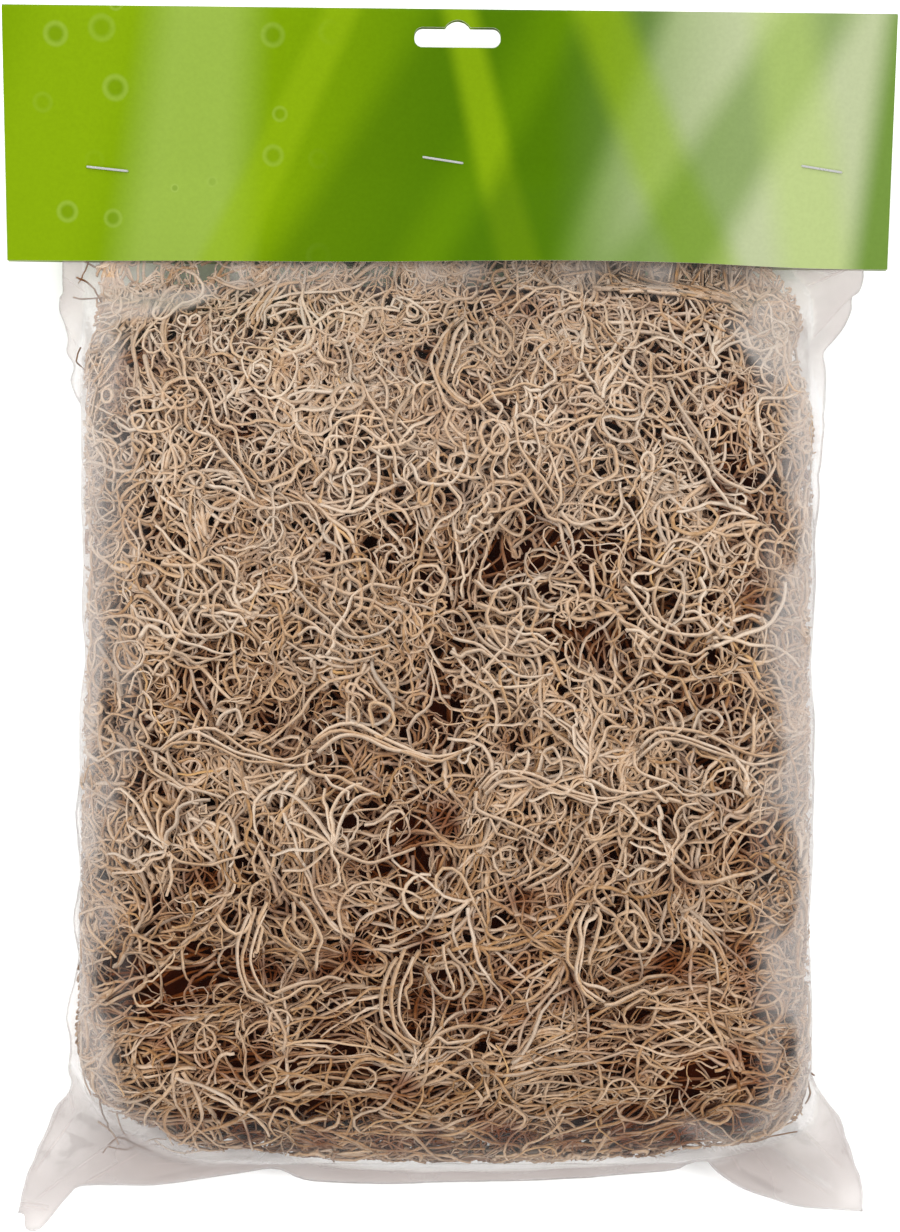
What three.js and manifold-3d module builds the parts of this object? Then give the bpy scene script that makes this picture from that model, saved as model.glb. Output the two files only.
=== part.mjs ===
// A bunch of dried Spanish moss, packed as a flat pad in a clear film bag. The bag's open mouth
// is pinched in a folded header card, which three staples hold and which has a hanging slot.
//
// Millimetres. +Z is up, out of the front of the pack, and +Y runs along it towards the header.
// The pack lies on its back on the floor, Z = 0, and the origin is under the middle of its box.
import * as THREE from "three";
import { mergeVertices } from "three/addons/utils/BufferGeometryUtils.js";
import Module from "manifold-3d";

// ---- Header card ----
const CARD = {
  width: 263, // across the pack
  thickness: 0.5,
  foldY: 182.8, // the folded edge
  lowY: 109.4, // the free lower edges of both panels
  lowZ: 22.5, // height of the middle between the panels, at their lower edges
  slope: 0.184, // the card rises towards its fold
  yaw: THREE.MathUtils.degToRad(-0.6), // it sits a little askew on the bag
  innerHalfGap: 0.85, // from the middle to each panel's inner face
  columns: 18,
  foldRows: 3,
};
const SLOT = { width: 25.4, height: 5.7, bump: 2.1, bumpWidth: 7.4, x: 2.2, y: 174.5, corner: 2.4 };
const STAPLE = {
  crown: 12.7,
  wire: 0.6, // thickness, out of the card
  depth: 0.7, // width, along the card
  bend: 0.5,
  clinch: 4.2, // length of each leg that is turned in behind the card
  clearance: 0.3,
  places: [
    { name: "staple_left", x: -101.7, y: 137.4, turn: -6 },
    { name: "staple_middle", x: -2.1, y: 139.9, turn: -8.5 },
    { name: "staple_right", x: 110.3, y: 137.3, turn: -9 },
  ],
};
const PINCH_Y = 134.5; // just under the staples, where the moss starts to push the panels apart
const HEM_Y = 106; // a line just clear of the card's lower edges, where the bag starts to swell
const FLARE = { edge: 3.5, swell: 8.5, x: 42, reach: 52, back: 0.5, film: 0.4 }; // of the card's lower edge

// ---- Film bag ----
const FILM = {
  wall: 0.3,
  flatHalf: 0.5, // half the thickness where the two sheets lie flat together
  seal: 5, // width of the weld along the bottom edge
  mouthY: 154, // the open end, hidden between the card's panels
  seamZ: 27, // height of the side seams over the floor
  cornerZ: 8, // height of the loose bottom corners
  rise: 32, // height of the front sheet over the side seams
  sag: 1.14, // the back sheet's fall under the seams, as a share of their height: it lies flat
  ear: 1.3, // how far the sheets part in the loose corners
  columns: 18,
  // The mesh's rows across the bag, counted in points of its side outlines.
  rows: [0, 0.35, 0.6, 0.85, 1.2, 1.6, 2.1, 2.6, 3.3, 4.2, 5, 6, 7, 7.5, 8, 8.35, 8.7, 9, 10, 11],
};
// The bag's outline seen from the front, from the bottom corners to the mouth and across.
const FILM_LEFT = [
  [-131.9, -177.7], [-124, -157], [-113, -138], [-112.6, -114], [-111.2, -85], [-110, -45],
  [-108.4, 0], [-109.6, 45], [-111.5, 78], [-115.5, HEM_Y], [-117, PINCH_Y], [-117, FILM.mouthY],
];
const FILM_RIGHT = [
  [126.2, -177.4], [117.5, -154], [109.4, -135], [108.4, -112], [108, -85], [108.6, -45],
  [107.9, -8], [109.3, 40], [111.4, 78], [122.5, HEM_Y], [126.6, PINCH_Y], [127, FILM.mouthY],
];
const FILM_BOTTOM = [
  [-131.9, -177.7], [-129.6, -182.8], [-124.6, -182.2], [-112, -169.8], [-75, -167], [-54, -164],
  [-38, -168.4], [0, -168], [30, -167.4], [60, -165], [77, -161.4], [88, -169.6], [106, -175],
  [126.2, -177.4],
];

// ---- Moss ----
const MOSS = {
  middleX: -1.2,
  halfWidth: 104.8,
  sideRadius: 28, // the pad's rounding at its sides, seen from an end
  bottomY: -157.5,
  bottomRadius: 42, // its rounding towards the bottom, seen from the side
  cornerRadius: 30, // its corners, seen from the front
  filmOffset: 4, // from the pad's nominal surface out to the bag's outer face
  restOffset: 3.5, // the same under its flat back, where it bears on the bag
  least: 0.8, // half its thickness where it runs out
};
// The dense middle of the pad, whose surface is combed into locks that dive under each other.
const LOCKS = {
  count: 48, // round the pad
  rows: 23,
  bottomY: -151.5,
  topY: 93,
  valley: -8, // offset between two locks
  crest: -2.6, // offset along a lock
};
const STRANDS = {
  seed: 11,
  count: 54,
  radius: 1.7,
  steps: [6, 10],
  step: [8, 13.5],
  bend: [0.1, 0.5], // turn at each step
  wander: 0.3,
  reachY: [-148, 100],
  sunk: -14, // offset of an end that is buried in the middle
  proud: 0.2, // offset of its route over the locks
};

const { clamp, lerp, smoothstep } = THREE.MathUtils;

// ---- The pack's form, shared by the film, the card and the moss ----

/** Height of the side seams' plane over the floor, at a place along the pack. */
function seamHeight(y) {
  const header = cardHeight(y);
  const body = lerp(FILM.cornerZ, FILM.seamZ, smoothstep(y, -178, -118));
  return lerp(body, header, smoothstep(y, 52, HEM_Y - 2));
}

/** How far the moss pushes a panel of the card open at its lower edge: the front (1) or the back one (-1). */
function flare(x, side) {
  const swell = FLARE.edge + FLARE.swell * Math.exp(-(((x - FLARE.x) / FLARE.reach) ** 2));
  return swell * (1 - smoothstep(Math.abs(x), 70, 122)) * (side > 0 ? 1 : FLARE.back);
}

/** The share of the flare that is left at a height on the card: 1 at the lower edge, 0 at the pinch. */
function flareShare(y) {
  return clamp((PINCH_Y - y) / (PINCH_Y - CARD.lowY), 0, 1);
}

/** Rounding towards one end, from 0 at the end to 1 at a radius from it. */
function endRound(distance, radius) {
  return Math.sqrt(1 - (1 - clamp(distance / radius, 0, 1)) ** 2);
}

/** Half the pad's width at a place along it, grown by an offset. */
function halfWidth(y, offset) {
  const radius = MOSS.cornerRadius + offset;
  const bottom = endRound(y - MOSS.bottomY + offset, radius);
  return MOSS.halfWidth + offset - radius * (1 - bottom);
}

/** The bag's outer height over the seams, away from its sides, for its front (1) or back (-1) sheet. */
function rise(x, y, side) {
  const neck = FILM.flatHalf + FLARE.film * flare(x, side) * flareShare(y);
  if (y >= HEM_Y) return neck;
  const lumps = Math.sin(0.047 * x + 0.9) * Math.sin(0.036 * y);
  const body = side > 0 ? FILM.rise + lumps : FILM.sag * seamHeight(y) + 1;
  const along = Math.sin((Math.PI / 2) * clamp((HEM_Y - y) / 44, 0, 1));
  const bottom = endRound(y - MOSS.bottomY + MOSS.filmOffset, MOSS.bottomRadius);
  return lerp(neck, body, along) * bottom;
}

/** Side rounding of the pad: 1 over its flat middle, 0 at its side seam. */
function sideRound(x, y, offset) {
  const radius = MOSS.sideRadius + offset;
  const over = Math.abs(x - MOSS.middleX) - (halfWidth(y, offset) - radius);
  return Math.sqrt(1 - clamp(over / radius, 0, 1) ** 2);
}

/** Height of the film's outer face: the front sheet for side 1, the back sheet for side -1. */
function filmHeight(x, y, side) {
  const stuffed = rise(x, y, side) * sideRound(x, y, MOSS.filmOffset);
  const corner = FILM.ear * smoothstep(Math.abs(x), 60, 100) * (1 - smoothstep(y, -150, -120));
  const up = Math.max(stuffed, FILM.flatHalf + corner);
  return side > 0 ? seamHeight(y) + up : Math.max(0, seamHeight(y) - up);
}

/** A point at an offset from the pad's surface. around runs from 0 to 2, over the front and then the back. */
function padPoint(around, y, offset) {
  const turn = ((around % 2) + 2) % 2;
  const side = turn < 1 ? 1 : -1;
  const across = side > 0 ? turn : 2 - turn;
  const half = halfWidth(y, 0);
  const flat = half - MOSS.sideRadius;
  const quarter = (Math.PI / 2) * MOSS.sideRadius;
  const run = Math.min(across, 1 - across) * 2 * (quarter + flat);
  const angle = Math.min(run / MOSS.sideRadius, Math.PI / 2);
  const reach = flat + (MOSS.sideRadius + offset) * Math.cos(angle) - Math.max(0, run - quarter);
  const x = MOSS.middleX + (across < 0.5 ? -reach : reach);
  const height = Math.max(MOSS.least, rise(x, y, side) - MOSS.filmOffset + offset) * Math.sin(angle);
  const z = side > 0 ? seamHeight(y) + height : Math.max(MOSS.restOffset - offset, seamHeight(y) - height);
  return new THREE.Vector3(x, y, z);
}

// ---- Solids ----

const wasm = await Module();
wasm.setup();

/** A closed geometry as a manifold-3d solid. */
function solidOf(geometry) {
  const bare = geometry.index ? geometry.toNonIndexed() : geometry.clone();
  bare.deleteAttribute("normal");
  bare.deleteAttribute("uv");
  const merged = mergeVertices(bare, 1e-4);
  return new wasm.Manifold(
    new wasm.Mesh({
      numProp: 3,
      vertProperties: merged.attributes.position.array,
      triVerts: new Uint32Array(merged.index.array),
    }),
  );
}

/** A manifold-3d solid as a geometry. */
function geometryOf(solid) {
  const mesh = solid.getMesh();
  return new THREE.BufferGeometry()
    .setAttribute("position", new THREE.BufferAttribute(new Float32Array(mesh.vertProperties), 3))
    .setIndex(new THREE.BufferAttribute(new Uint32Array(mesh.triVerts), 1));
}

/** Collects quads and triangles of points into a geometry. */
class Faces {
  coordinates = [];

  triangle(a, b, c) {
    for (const point of [a, b, c]) this.coordinates.push(point.x, point.y, point.z);
  }

  quad(a, b, c, d) {
    this.triangle(a, b, c);
    this.triangle(a, c, d);
  }

  /** Joins two rows of points with faces that look out, or in. Both split a quad along the same diagonal. */
  strip(lower, upper, { ring = true, inward = false } = {}) {
    const last = ring ? lower.length : lower.length - 1;
    for (let i = 0; i < last; i += 1) {
      const next = (i + 1) % lower.length;
      const corners = [lower[i], lower[next], upper[next], upper[i]];
      if (inward) corners.splice(0, 4, lower[i], upper[i], upper[next], lower[next]);
      this.quad(...corners);
    }
  }

  geometry() {
    return new THREE.BufferGeometry().setAttribute(
      "position",
      new THREE.Float32BufferAttribute(this.coordinates, 3),
    );
  }
}

// ---- Film bag ----

const outlineCurve = (points) => new THREE.SplineCurve(points.map(([x, y]) => new THREE.Vector2(x, y)));
const filmOutline = {
  left: outlineCurve(FILM_LEFT),
  right: outlineCurve(FILM_RIGHT),
  bottom: outlineCurve(FILM_BOTTOM),
};

/** A place on the flat outline: u across from 0 to 1, v from the bottom edge to the mouth. */
function filmPlace(u, v) {
  const left = filmOutline.left.getPoint(v);
  const right = filmOutline.right.getPoint(v);
  const bottom = filmOutline.bottom.getPointAt(u);
  const chord = filmOutline.left.getPoint(0).lerp(filmOutline.right.getPoint(0), u);
  return left.lerp(right, u).add(bottom.sub(chord).multiplyScalar((1 - v) ** 3));
}

/** The point of the film's outer face at a column and row of its grid. */
function filmPoint(column, row, side) {
  const u = (1 - Math.cos((Math.PI * column) / FILM.columns)) / 2;
  const place = filmPlace(u, row / (FILM_LEFT.length - 1));
  const edge = column === 0 || column === FILM.columns || row === 0;
  const z = edge ? seamHeight(place.y) : filmHeight(place.x, place.y, side);
  return new THREE.Vector3(place.x, place.y, z);
}

/** The film's outer points as rings, from the bottom edge to the mouth. */
function filmRings() {
  return FILM.rows.map((row) => {
    const front = Array.from({ length: FILM.columns + 1 }, (_, i) => filmPoint(i, row, 1));
    const back = Array.from({ length: FILM.columns - 1 }, (_, i) => filmPoint(FILM.columns - 1 - i, row, -1));
    return [...front, ...back];
  });
}

/** The rings moved in by the wall: along the normal inside, and clear of the weld at the edges. */
function innerRings(rings) {
  const count = rings[0].length;
  const normalAt = (row, i) => {
    const along = rings[Math.min(row + 1, rings.length - 1)][i].clone().sub(rings[Math.max(row - 1, 0)][i]);
    const across = rings[row][(i + 1) % count].clone().sub(rings[row][(i + count - 1) % count]);
    return across.cross(along).normalize();
  };
  return rings.map((ring, row) => {
    const first = row === 0;
    return ring.map((point, i) => {
      const seam = i === 0 || i === FILM.columns;
      if (seam) {
        const inward = ring[i === 0 ? 1 : FILM.columns - 1];
        const moved = point.clone().lerp(inward, 0.45);
        moved.z = seamHeight(point.y);
        if (first) moved.lerp(rings[1][i === 0 ? 1 : FILM.columns - 1], 0.5).setZ(seamHeight(moved.y));
        return moved;
      }
      if (first) {
        const up = rings[1][i].clone().setZ(point.z);
        const moved = point.clone().lerp(up, Math.min(0.8, FILM.seal / up.distanceTo(point)));
        return moved.setZ(seamHeight(moved.y));
      }
      return point.clone().addScaledVector(normalAt(row, i), -FILM.wall);
    });
  });
}

/** The bag: a welded pouch with its mouth open at the top. */
function filmGeometry() {
  const outer = filmRings();
  const inner = innerRings(outer);
  const faces = new Faces();
  for (let row = 0; row + 1 < outer.length; row += 1) {
    faces.strip(outer[row], outer[row + 1]);
    faces.strip(inner[row], inner[row + 1], { inward: true });
  }
  faces.strip(outer.at(-1), inner.at(-1));
  return faces.geometry();
}

// ---- Header card ----

/** Height of the middle between the card's panels, at a place along the pack. */
function cardHeight(y) {
  return CARD.lowZ + (y - CARD.lowY) * CARD.slope;
}

/** A point of the card's sheet at a place on it, at an offset from the middle between its panels. */
function cardPoint(x, y, offset) {
  const turned = new THREE.Vector2(x, y - CARD.foldY).rotateAround(new THREE.Vector2(), CARD.yaw);
  const place = { x: turned.x, y: turned.y + CARD.foldY };
  const opened = flare(x, offset) * flareShare(y) * Math.sign(offset);
  return new THREE.Vector3(place.x, place.y, cardHeight(place.y) + offset + opened);
}

/** The card's profile at a depth from its inner face: [y, offset] pairs from its back edge to its front. */
function cardProfile(depth) {
  const half = CARD.innerHalfGap + depth;
  const topY = CARD.foldY - CARD.innerHalfGap - CARD.thickness;
  const panel = [CARD.lowY, lerp(CARD.lowY, PINCH_Y, 0.5), PINCH_Y, lerp(PINCH_Y, topY, 0.5), topY];
  const fold = Array.from({ length: CARD.foldRows - 1 }, (_, i) => {
    const angle = Math.PI * ((i + 1) / CARD.foldRows);
    return [panel.at(-1) + half * Math.sin(angle), -half * Math.cos(angle)];
  });
  return [...panel.map((y) => [y, -half]), ...fold, ...panel.toReversed().map((y) => [y, half])];
}

/** The folded card, before it is punched. */
function cardBlank() {
  const skin = (depth) =>
    Array.from({ length: CARD.columns + 1 }, (_, column) => {
      const x = lerp(-CARD.width / 2, CARD.width / 2, column / CARD.columns);
      return cardProfile(depth).map(([y, offset]) => cardPoint(x, y, offset));
    });
  const [outer, inner] = [skin(CARD.thickness), skin(0)];
  const faces = new Faces();
  const open = { ring: false };
  for (let column = 0; column < CARD.columns; column += 1) {
    faces.strip(outer[column], outer[column + 1], open);
    faces.strip(inner[column], inner[column + 1], { ring: false, inward: true });
  }
  faces.strip(inner[0], outer[0], open);
  faces.strip(outer.at(-1), inner.at(-1), open);
  const edge = (grid, end) => grid.map((profile) => profile.at(end));
  faces.strip(edge(outer, 0), edge(inner, 0), open);
  faces.strip(edge(inner, -1), edge(outer, -1), open);
  return solidOf(faces.geometry());
}

/** A prism along Z through the whole pack, as a cutter. */
function punch(shape, x, y, turn = 0) {
  const geometry = new THREE.ExtrudeGeometry(shape, { depth: 90, bevelEnabled: false, curveSegments: 4 });
  return solidOf(geometry.rotateZ(turn).translate(x, y, -10));
}

/** The hanging slot: a long slot with round ends and a bump in its upper edge that centres a hook. */
function slotShape() {
  const { width, height, bump, bumpWidth, corner } = SLOT;
  const [right, top] = [width / 2, height / 2];
  const shape = new THREE.Shape();
  shape.moveTo(-right + corner, -top);
  shape.lineTo(right - corner, -top);
  shape.absarc(right - corner, -top + corner, corner, -Math.PI / 2, 0);
  shape.absarc(right - corner, top - corner, corner, 0, Math.PI / 2);
  shape.lineTo(bumpWidth / 2, top);
  shape.bezierCurveTo(bumpWidth / 4, top + bump, 1.2, top + bump, 1, top + bump);
  shape.lineTo(-1, top + bump);
  shape.bezierCurveTo(-1.2, top + bump, -bumpWidth / 4, top + bump, -bumpWidth / 2, top);
  shape.lineTo(-right + corner, top);
  shape.absarc(-right + corner, top - corner, corner, Math.PI / 2, Math.PI);
  shape.absarc(-right + corner, -top + corner, corner, Math.PI, Math.PI * 1.5);
  return shape;
}

/** Cutters for the two legs of each staple. */
function staplePunches() {
  const half = { x: STAPLE.wire / 2 + STAPLE.clearance, y: STAPLE.depth / 2 + STAPLE.clearance };
  const hole = new THREE.Shape([
    new THREE.Vector2(-half.x, -half.y),
    new THREE.Vector2(half.x, -half.y),
    new THREE.Vector2(half.x, half.y),
    new THREE.Vector2(-half.x, half.y),
  ]);
  const leg = (STAPLE.crown - STAPLE.wire) / 2;
  return STAPLE.places.flatMap(({ x, y, turn }) => {
    const angle = THREE.MathUtils.degToRad(turn);
    return [-leg, leg].map((reach) =>
      punch(hole, x + reach * Math.cos(angle), y + reach * Math.sin(angle), angle),
    );
  });
}

// ---- Staples ----

/** A driven staple, in its own frame: the crown along X, its legs down through the card and turned in. */
function stapleGeometry() {
  const { crown, wire, depth, bend, clinch, clearance } = STAPLE;
  const half = crown / 2;
  const top = CARD.innerHalfGap + CARD.thickness + clearance + wire;
  const low = -top;
  const shape = new THREE.Shape();
  shape.moveTo(-half + bend, top);
  shape.lineTo(half - bend, top);
  shape.lineTo(half, top - bend);
  shape.lineTo(half, low + bend);
  shape.lineTo(half - bend, low);
  shape.lineTo(half - clinch, low);
  shape.lineTo(half - clinch, low + wire);
  shape.lineTo(half - wire, low + wire);
  shape.lineTo(half - wire, top - wire);
  shape.lineTo(-half + wire, top - wire);
  shape.lineTo(-half + wire, low + wire);
  shape.lineTo(-half + clinch, low + wire);
  shape.lineTo(-half + clinch, low);
  shape.lineTo(-half + bend, low);
  shape.lineTo(-half, low + bend);
  shape.lineTo(-half, top - bend);
  const geometry = new THREE.ExtrudeGeometry(shape, { depth, bevelEnabled: false });
  return geometry.rotateX(Math.PI / 2).translate(0, depth / 2, 0);
}

/** Turns a staple's mesh flat on the sloping card at its place. */
function seatStaple(mesh, { x, y, turn }) {
  const angle = THREE.MathUtils.degToRad(turn);
  const along = new THREE.Vector3(Math.cos(angle), Math.sin(angle), Math.sin(angle) * CARD.slope).normalize();
  const out = new THREE.Vector3(0, -CARD.slope, 1).normalize();
  mesh.quaternion.setFromRotationMatrix(
    new THREE.Matrix4().makeBasis(along, out.clone().cross(along), out),
  );
  mesh.position.set(x, y, cardHeight(y));
}

// ---- Moss ----

/** A repeatable stream of numbers from 0 to 1. */
function randomStream(seed) {
  let state = seed;
  return () => {
    state = (state + 0x6d2b79f5) | 0;
    let t = Math.imul(state ^ (state >>> 15), 1 | state);
    t = (t + Math.imul(t ^ (t >>> 7), 61 | t)) ^ t;
    return ((t ^ (t >>> 14)) >>> 0) / 4294967296;
  };
}

/** The dense middle of the tangle: wavy locks run along the pad, side by side and all the way round it. */
function locksSolid() {
  const rings = Array.from({ length: LOCKS.rows + 1 }, (_, row) => {
    const y = lerp(LOCKS.bottomY, LOCKS.topY, row / LOCKS.rows);
    return Array.from({ length: 2 * LOCKS.count }, (_, i) => {
      const turn = Math.PI * (i / LOCKS.count);
      const sway = 2.2 * Math.sin(0.024 * y + 2 * turn) + 0.35 * Math.sin(0.08 * y + 5 * turn);
      const lift = Math.abs(Math.sin(0.042 * y + 2.4 * i));
      const offset = i % 2 ? lerp(LOCKS.valley + 1.5, LOCKS.crest, lift) : LOCKS.valley;
      return padPoint((i / 2 + sway) * (2 / LOCKS.count), y, offset);
    });
  });
  const faces = new Faces();
  for (let row = 0; row < LOCKS.rows; row += 1) faces.strip(rings[row], rings[row + 1]);
  const centreOf = (ring) =>
    ring.reduce((sum, point) => sum.add(point), new THREE.Vector3()).divideScalar(ring.length);
  const [low, high] = [centreOf(rings[0]), centreOf(rings.at(-1))];
  rings[0].forEach((point, i, ring) => faces.triangle(ring[(i + 1) % ring.length], point, low));
  rings.at(-1).forEach((point, i, ring) => faces.triangle(point, ring[(i + 1) % ring.length], high));
  return solidOf(faces.geometry());
}

/** A three-sided tube through points, closed at both ends. */
function tubeSolid(points, radius) {
  const section = new THREE.Shape(
    Array.from({ length: 3 }, (_, i) => {
      const angle = (2 * Math.PI * i) / 3;
      return new THREE.Vector2(radius * Math.cos(angle), radius * Math.sin(angle));
    }),
  );
  const extrudePath = new THREE.CatmullRomCurve3(points);
  const steps = points.length;
  return solidOf(new THREE.ExtrudeGeometry(section, { extrudePath, steps, bevelEnabled: false }));
}

/** The route of one strand: it comes out of the locks, wanders or curls over them and goes back in. */
function strandPoints(random) {
  const perimeter = 2 * (Math.PI * MOSS.sideRadius + 2 * (MOSS.halfWidth - MOSS.sideRadius));
  const steps = Math.round(lerp(...STRANDS.steps, random()));
  const step = lerp(...STRANDS.step, random());
  const bend = lerp(...STRANDS.bend, random()) * (random() < 0.5 ? -1 : 1);
  let around = 2 * random();
  let y = lerp(...STRANDS.reachY, random());
  let heading = 2 * Math.PI * random();
  return Array.from({ length: steps + 1 }, (_, i) => {
    const point = padPoint(around, y, i % steps ? STRANDS.proud : STRANDS.sunk);
    heading += bend + lerp(-STRANDS.wander, STRANDS.wander, random());
    const next = y + step * Math.sin(heading);
    if (next < STRANDS.reachY[0] || next > STRANDS.reachY[1]) heading = -heading;
    around = (around + 2 + (2 * step * Math.cos(heading)) / perimeter) % 2;
    y += step * Math.sin(heading);
    return point;
  });
}

/** The moss: the locks with the strands that lie over them, as one body. */
function mossGeometry() {
  const random = randomStream(STRANDS.seed);
  const strand = () => tubeSolid(strandPoints(random), STRANDS.radius);
  const strands = Array.from({ length: STRANDS.count }, strand);
  const joined = wasm.Manifold.union([locksSolid(), ...strands]);
  const bodies = joined.decompose().sort((a, b) => b.volume() - a.volume());
  return geometryOf(bodies[0]);
}

// ---- Assembly ----

const finish = (color, roughness, metalness = 0) =>
  new THREE.MeshStandardMaterial({ color, roughness, metalness });
const materials = {
  card: finish(0x74a41c, 0.42),
  film: Object.assign(finish(0xe6e2de, 0.15), { transparent: true, opacity: 0.25 }),
  moss: finish(0xa98f72, 0.9),
  staple: finish(0xb9bab8, 0.3, 1),
};

const pack = new THREE.Group();

/** Adds one piece to the pack. */
function addPiece(name, geometry, material) {
  const mesh = new THREE.Mesh(geometry, material);
  mesh.name = name;
  pack.add(mesh);
  return mesh;
}

const legHoles = staplePunches();
const slot = punch(slotShape(), SLOT.x, SLOT.y, CARD.yaw);
const punched = (solid, holes) => geometryOf(solid.subtract(wasm.Manifold.union(holes)));
addPiece("header_card", punched(cardBlank(), [slot, ...legHoles]), materials.card);
addPiece("film_bag", punched(solidOf(filmGeometry()), legHoles), materials.film);
addPiece("moss_tangle", mossGeometry(), materials.moss);
for (const place of STAPLE.places) {
  seatStaple(addPiece(place.name, stapleGeometry(), materials.staple), place);
}

const middle = new THREE.Box3().setFromObject(pack).getCenter(new THREE.Vector3());
pack.position.set(-middle.x, -middle.y, 0);

export default pack;
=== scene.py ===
"""A retail pack of dried Spanish moss, dressed for the render.

The pack lies on its back on the floor: +Z is up, out of its front, and +Y runs along it to its
header card. Lengths in this file are millimetres in the pack's drawing frame, and PackForm.place
turns them into the scene's metres.
"""

import logging
import math
from dataclasses import dataclass, fields, replace
from enum import Enum
from typing import Sequence

import bpy
import bmesh
import numpy as np
from bpy.types import Material, Node, NodeSocket, NodeTree, Object
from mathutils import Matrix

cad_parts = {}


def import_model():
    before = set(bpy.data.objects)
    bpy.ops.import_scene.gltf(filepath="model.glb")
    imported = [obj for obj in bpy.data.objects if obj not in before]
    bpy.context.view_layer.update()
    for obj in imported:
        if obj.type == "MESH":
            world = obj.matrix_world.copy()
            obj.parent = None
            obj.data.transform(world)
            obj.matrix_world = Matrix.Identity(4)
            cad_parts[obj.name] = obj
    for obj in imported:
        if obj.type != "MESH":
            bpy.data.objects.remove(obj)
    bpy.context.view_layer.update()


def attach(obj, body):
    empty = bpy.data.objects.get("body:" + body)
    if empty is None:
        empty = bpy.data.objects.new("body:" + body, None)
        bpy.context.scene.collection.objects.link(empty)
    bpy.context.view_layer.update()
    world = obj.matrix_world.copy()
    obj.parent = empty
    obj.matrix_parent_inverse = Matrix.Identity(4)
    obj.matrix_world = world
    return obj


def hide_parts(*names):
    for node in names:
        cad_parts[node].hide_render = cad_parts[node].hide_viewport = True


Array = np.ndarray
Span = tuple[float, float]
Colour = tuple[float, ...]
log = logging.getLogger("moss_pack")

MM = 0.001
TAU = 2 * math.pi
QUARTER = math.pi / 2
TINY = 1e-9
SIDEWAYS, UP = np.array([1.0, 0.0, 0.0]), np.array([0.0, 0.0, 1.0])
STEEP = 0.1  # a route's start counts as upright when its level part is under this
BODY = "root"


def smoothstep(value: Array | float, low: float, high: float) -> Array:
    """Eases from 0 to 1 as a value goes from low to high.

    Args:
        value: The value or values.
        low: Where the result is 0.
        high: Where the result is 1.

    Returns:
        The eased values.
    """
    share = np.clip((value - low) / (high - low), 0, 1)
    return share * share * (3 - 2 * share)


def mix(start: Array | float, end: Array | float, share: Array | float) -> Array:
    """Blends from start at share 0 to end at share 1."""
    return start + (end - start) * share


@dataclass(frozen=True)
class Noise:
    """Smooth random heights over the plane, from -1 to 1.

    Attributes:
        seed: Which of the patterns.
        cell: The distance between two of its hills.
        lattice_size: Cells until it repeats.
    """

    seed: int
    cell: float
    lattice_size: int = 64

    def at(self, x: Array, y: Array | float = 0.0) -> Array:
        """The heights at some places.

        Args:
            x: First coordinates.
            y: Second coordinates.

        Returns:
            One height for each place.
        """
        lattice = np.random.default_rng(self.seed).uniform(-1, 1, (self.lattice_size,) * 2)
        across = np.asarray(x) / self.cell
        along = np.asarray(y) / self.cell + 0 * across
        column, row = np.floor(across).astype(int), np.floor(along).astype(int)
        u = smoothstep(across - column, 0, 1)
        v = smoothstep(along - row, 0, 1)

        def corner(dx: int, dy: int) -> Array:
            """The heights at one corner of each place's cell."""
            return lattice[(column + dx) % self.lattice_size, (row + dy) % self.lattice_size]

        return mix(mix(corner(0, 0), corner(1, 0), u), mix(corner(0, 1), corner(1, 1), u), v)


@dataclass(frozen=True)
class Outline:
    """A smooth curve through a few points of the pack's plane.

    Attributes:
        points: The x and the y of each point in turn.
        closed: Whether the last point leads back to the first.
        samples: How finely its length is measured.
    """

    points: tuple[float, ...]
    closed: bool = False
    samples: int = 400

    def at(self, share: Array) -> Array:
        """Points at shares of the way through the curve's points.

        Args:
            share: Values from 0 to 1.

        Returns:
            One (x, y) row for each share.
        """
        points = np.reshape(self.points, (-1, 2))
        last = len(points) if self.closed else len(points) - 1
        along = np.clip(np.asarray(share), 0, 1) * last
        start = np.minimum(np.floor(along).astype(int), last - 1)
        w = (along - start)[..., None]

        def point(step: int) -> Array:
            """The points a step away from each start."""
            index = start + step
            return points[index % len(points) if self.closed else np.clip(index, 0, last)]

        before, first, second, after = (point(step) for step in (-1, 0, 1, 2))
        leave, arrive = (second - before) / 2, (after - first) / 2
        cubic = 2 * first - 2 * second + leave + arrive
        square = -3 * first + 3 * second - 2 * leave - arrive
        return cubic * w**3 + square * w**2 + leave * w + first

    def even(self, share: Array) -> Array:
        """Points at shares of the curve's length.

        Args:
            share: Values from 0 to 1.

        Returns:
            One (x, y) row for each share.
        """
        steps = np.linspace(0, 1, self.samples)
        lengths = np.linalg.norm(np.diff(self.at(steps), axis=0), axis=1)
        run = np.concatenate([[0], np.cumsum(lengths)])
        return self.at(np.interp(share, run / run[-1], steps))


# ---- The pack's form ----


@dataclass(frozen=True)
class CardSizes:
    """The folded header card and how the moss pushes its lower edge open."""

    width: float = 263
    thickness: float = 0.5
    fold_y: float = 182.8
    low_y: float = 109.4
    low_z: float = 22.5
    slope: float = 0.184
    yaw: float = math.radians(-0.6)
    inner_half_gap: float = 0.85
    pinch_y: float = 134.5
    flare_edge: float = 3.5
    flare_swell: float = 8.5
    flare_x: float = 42
    flare_reach: float = 52
    flare_back: float = 0.5


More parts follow.
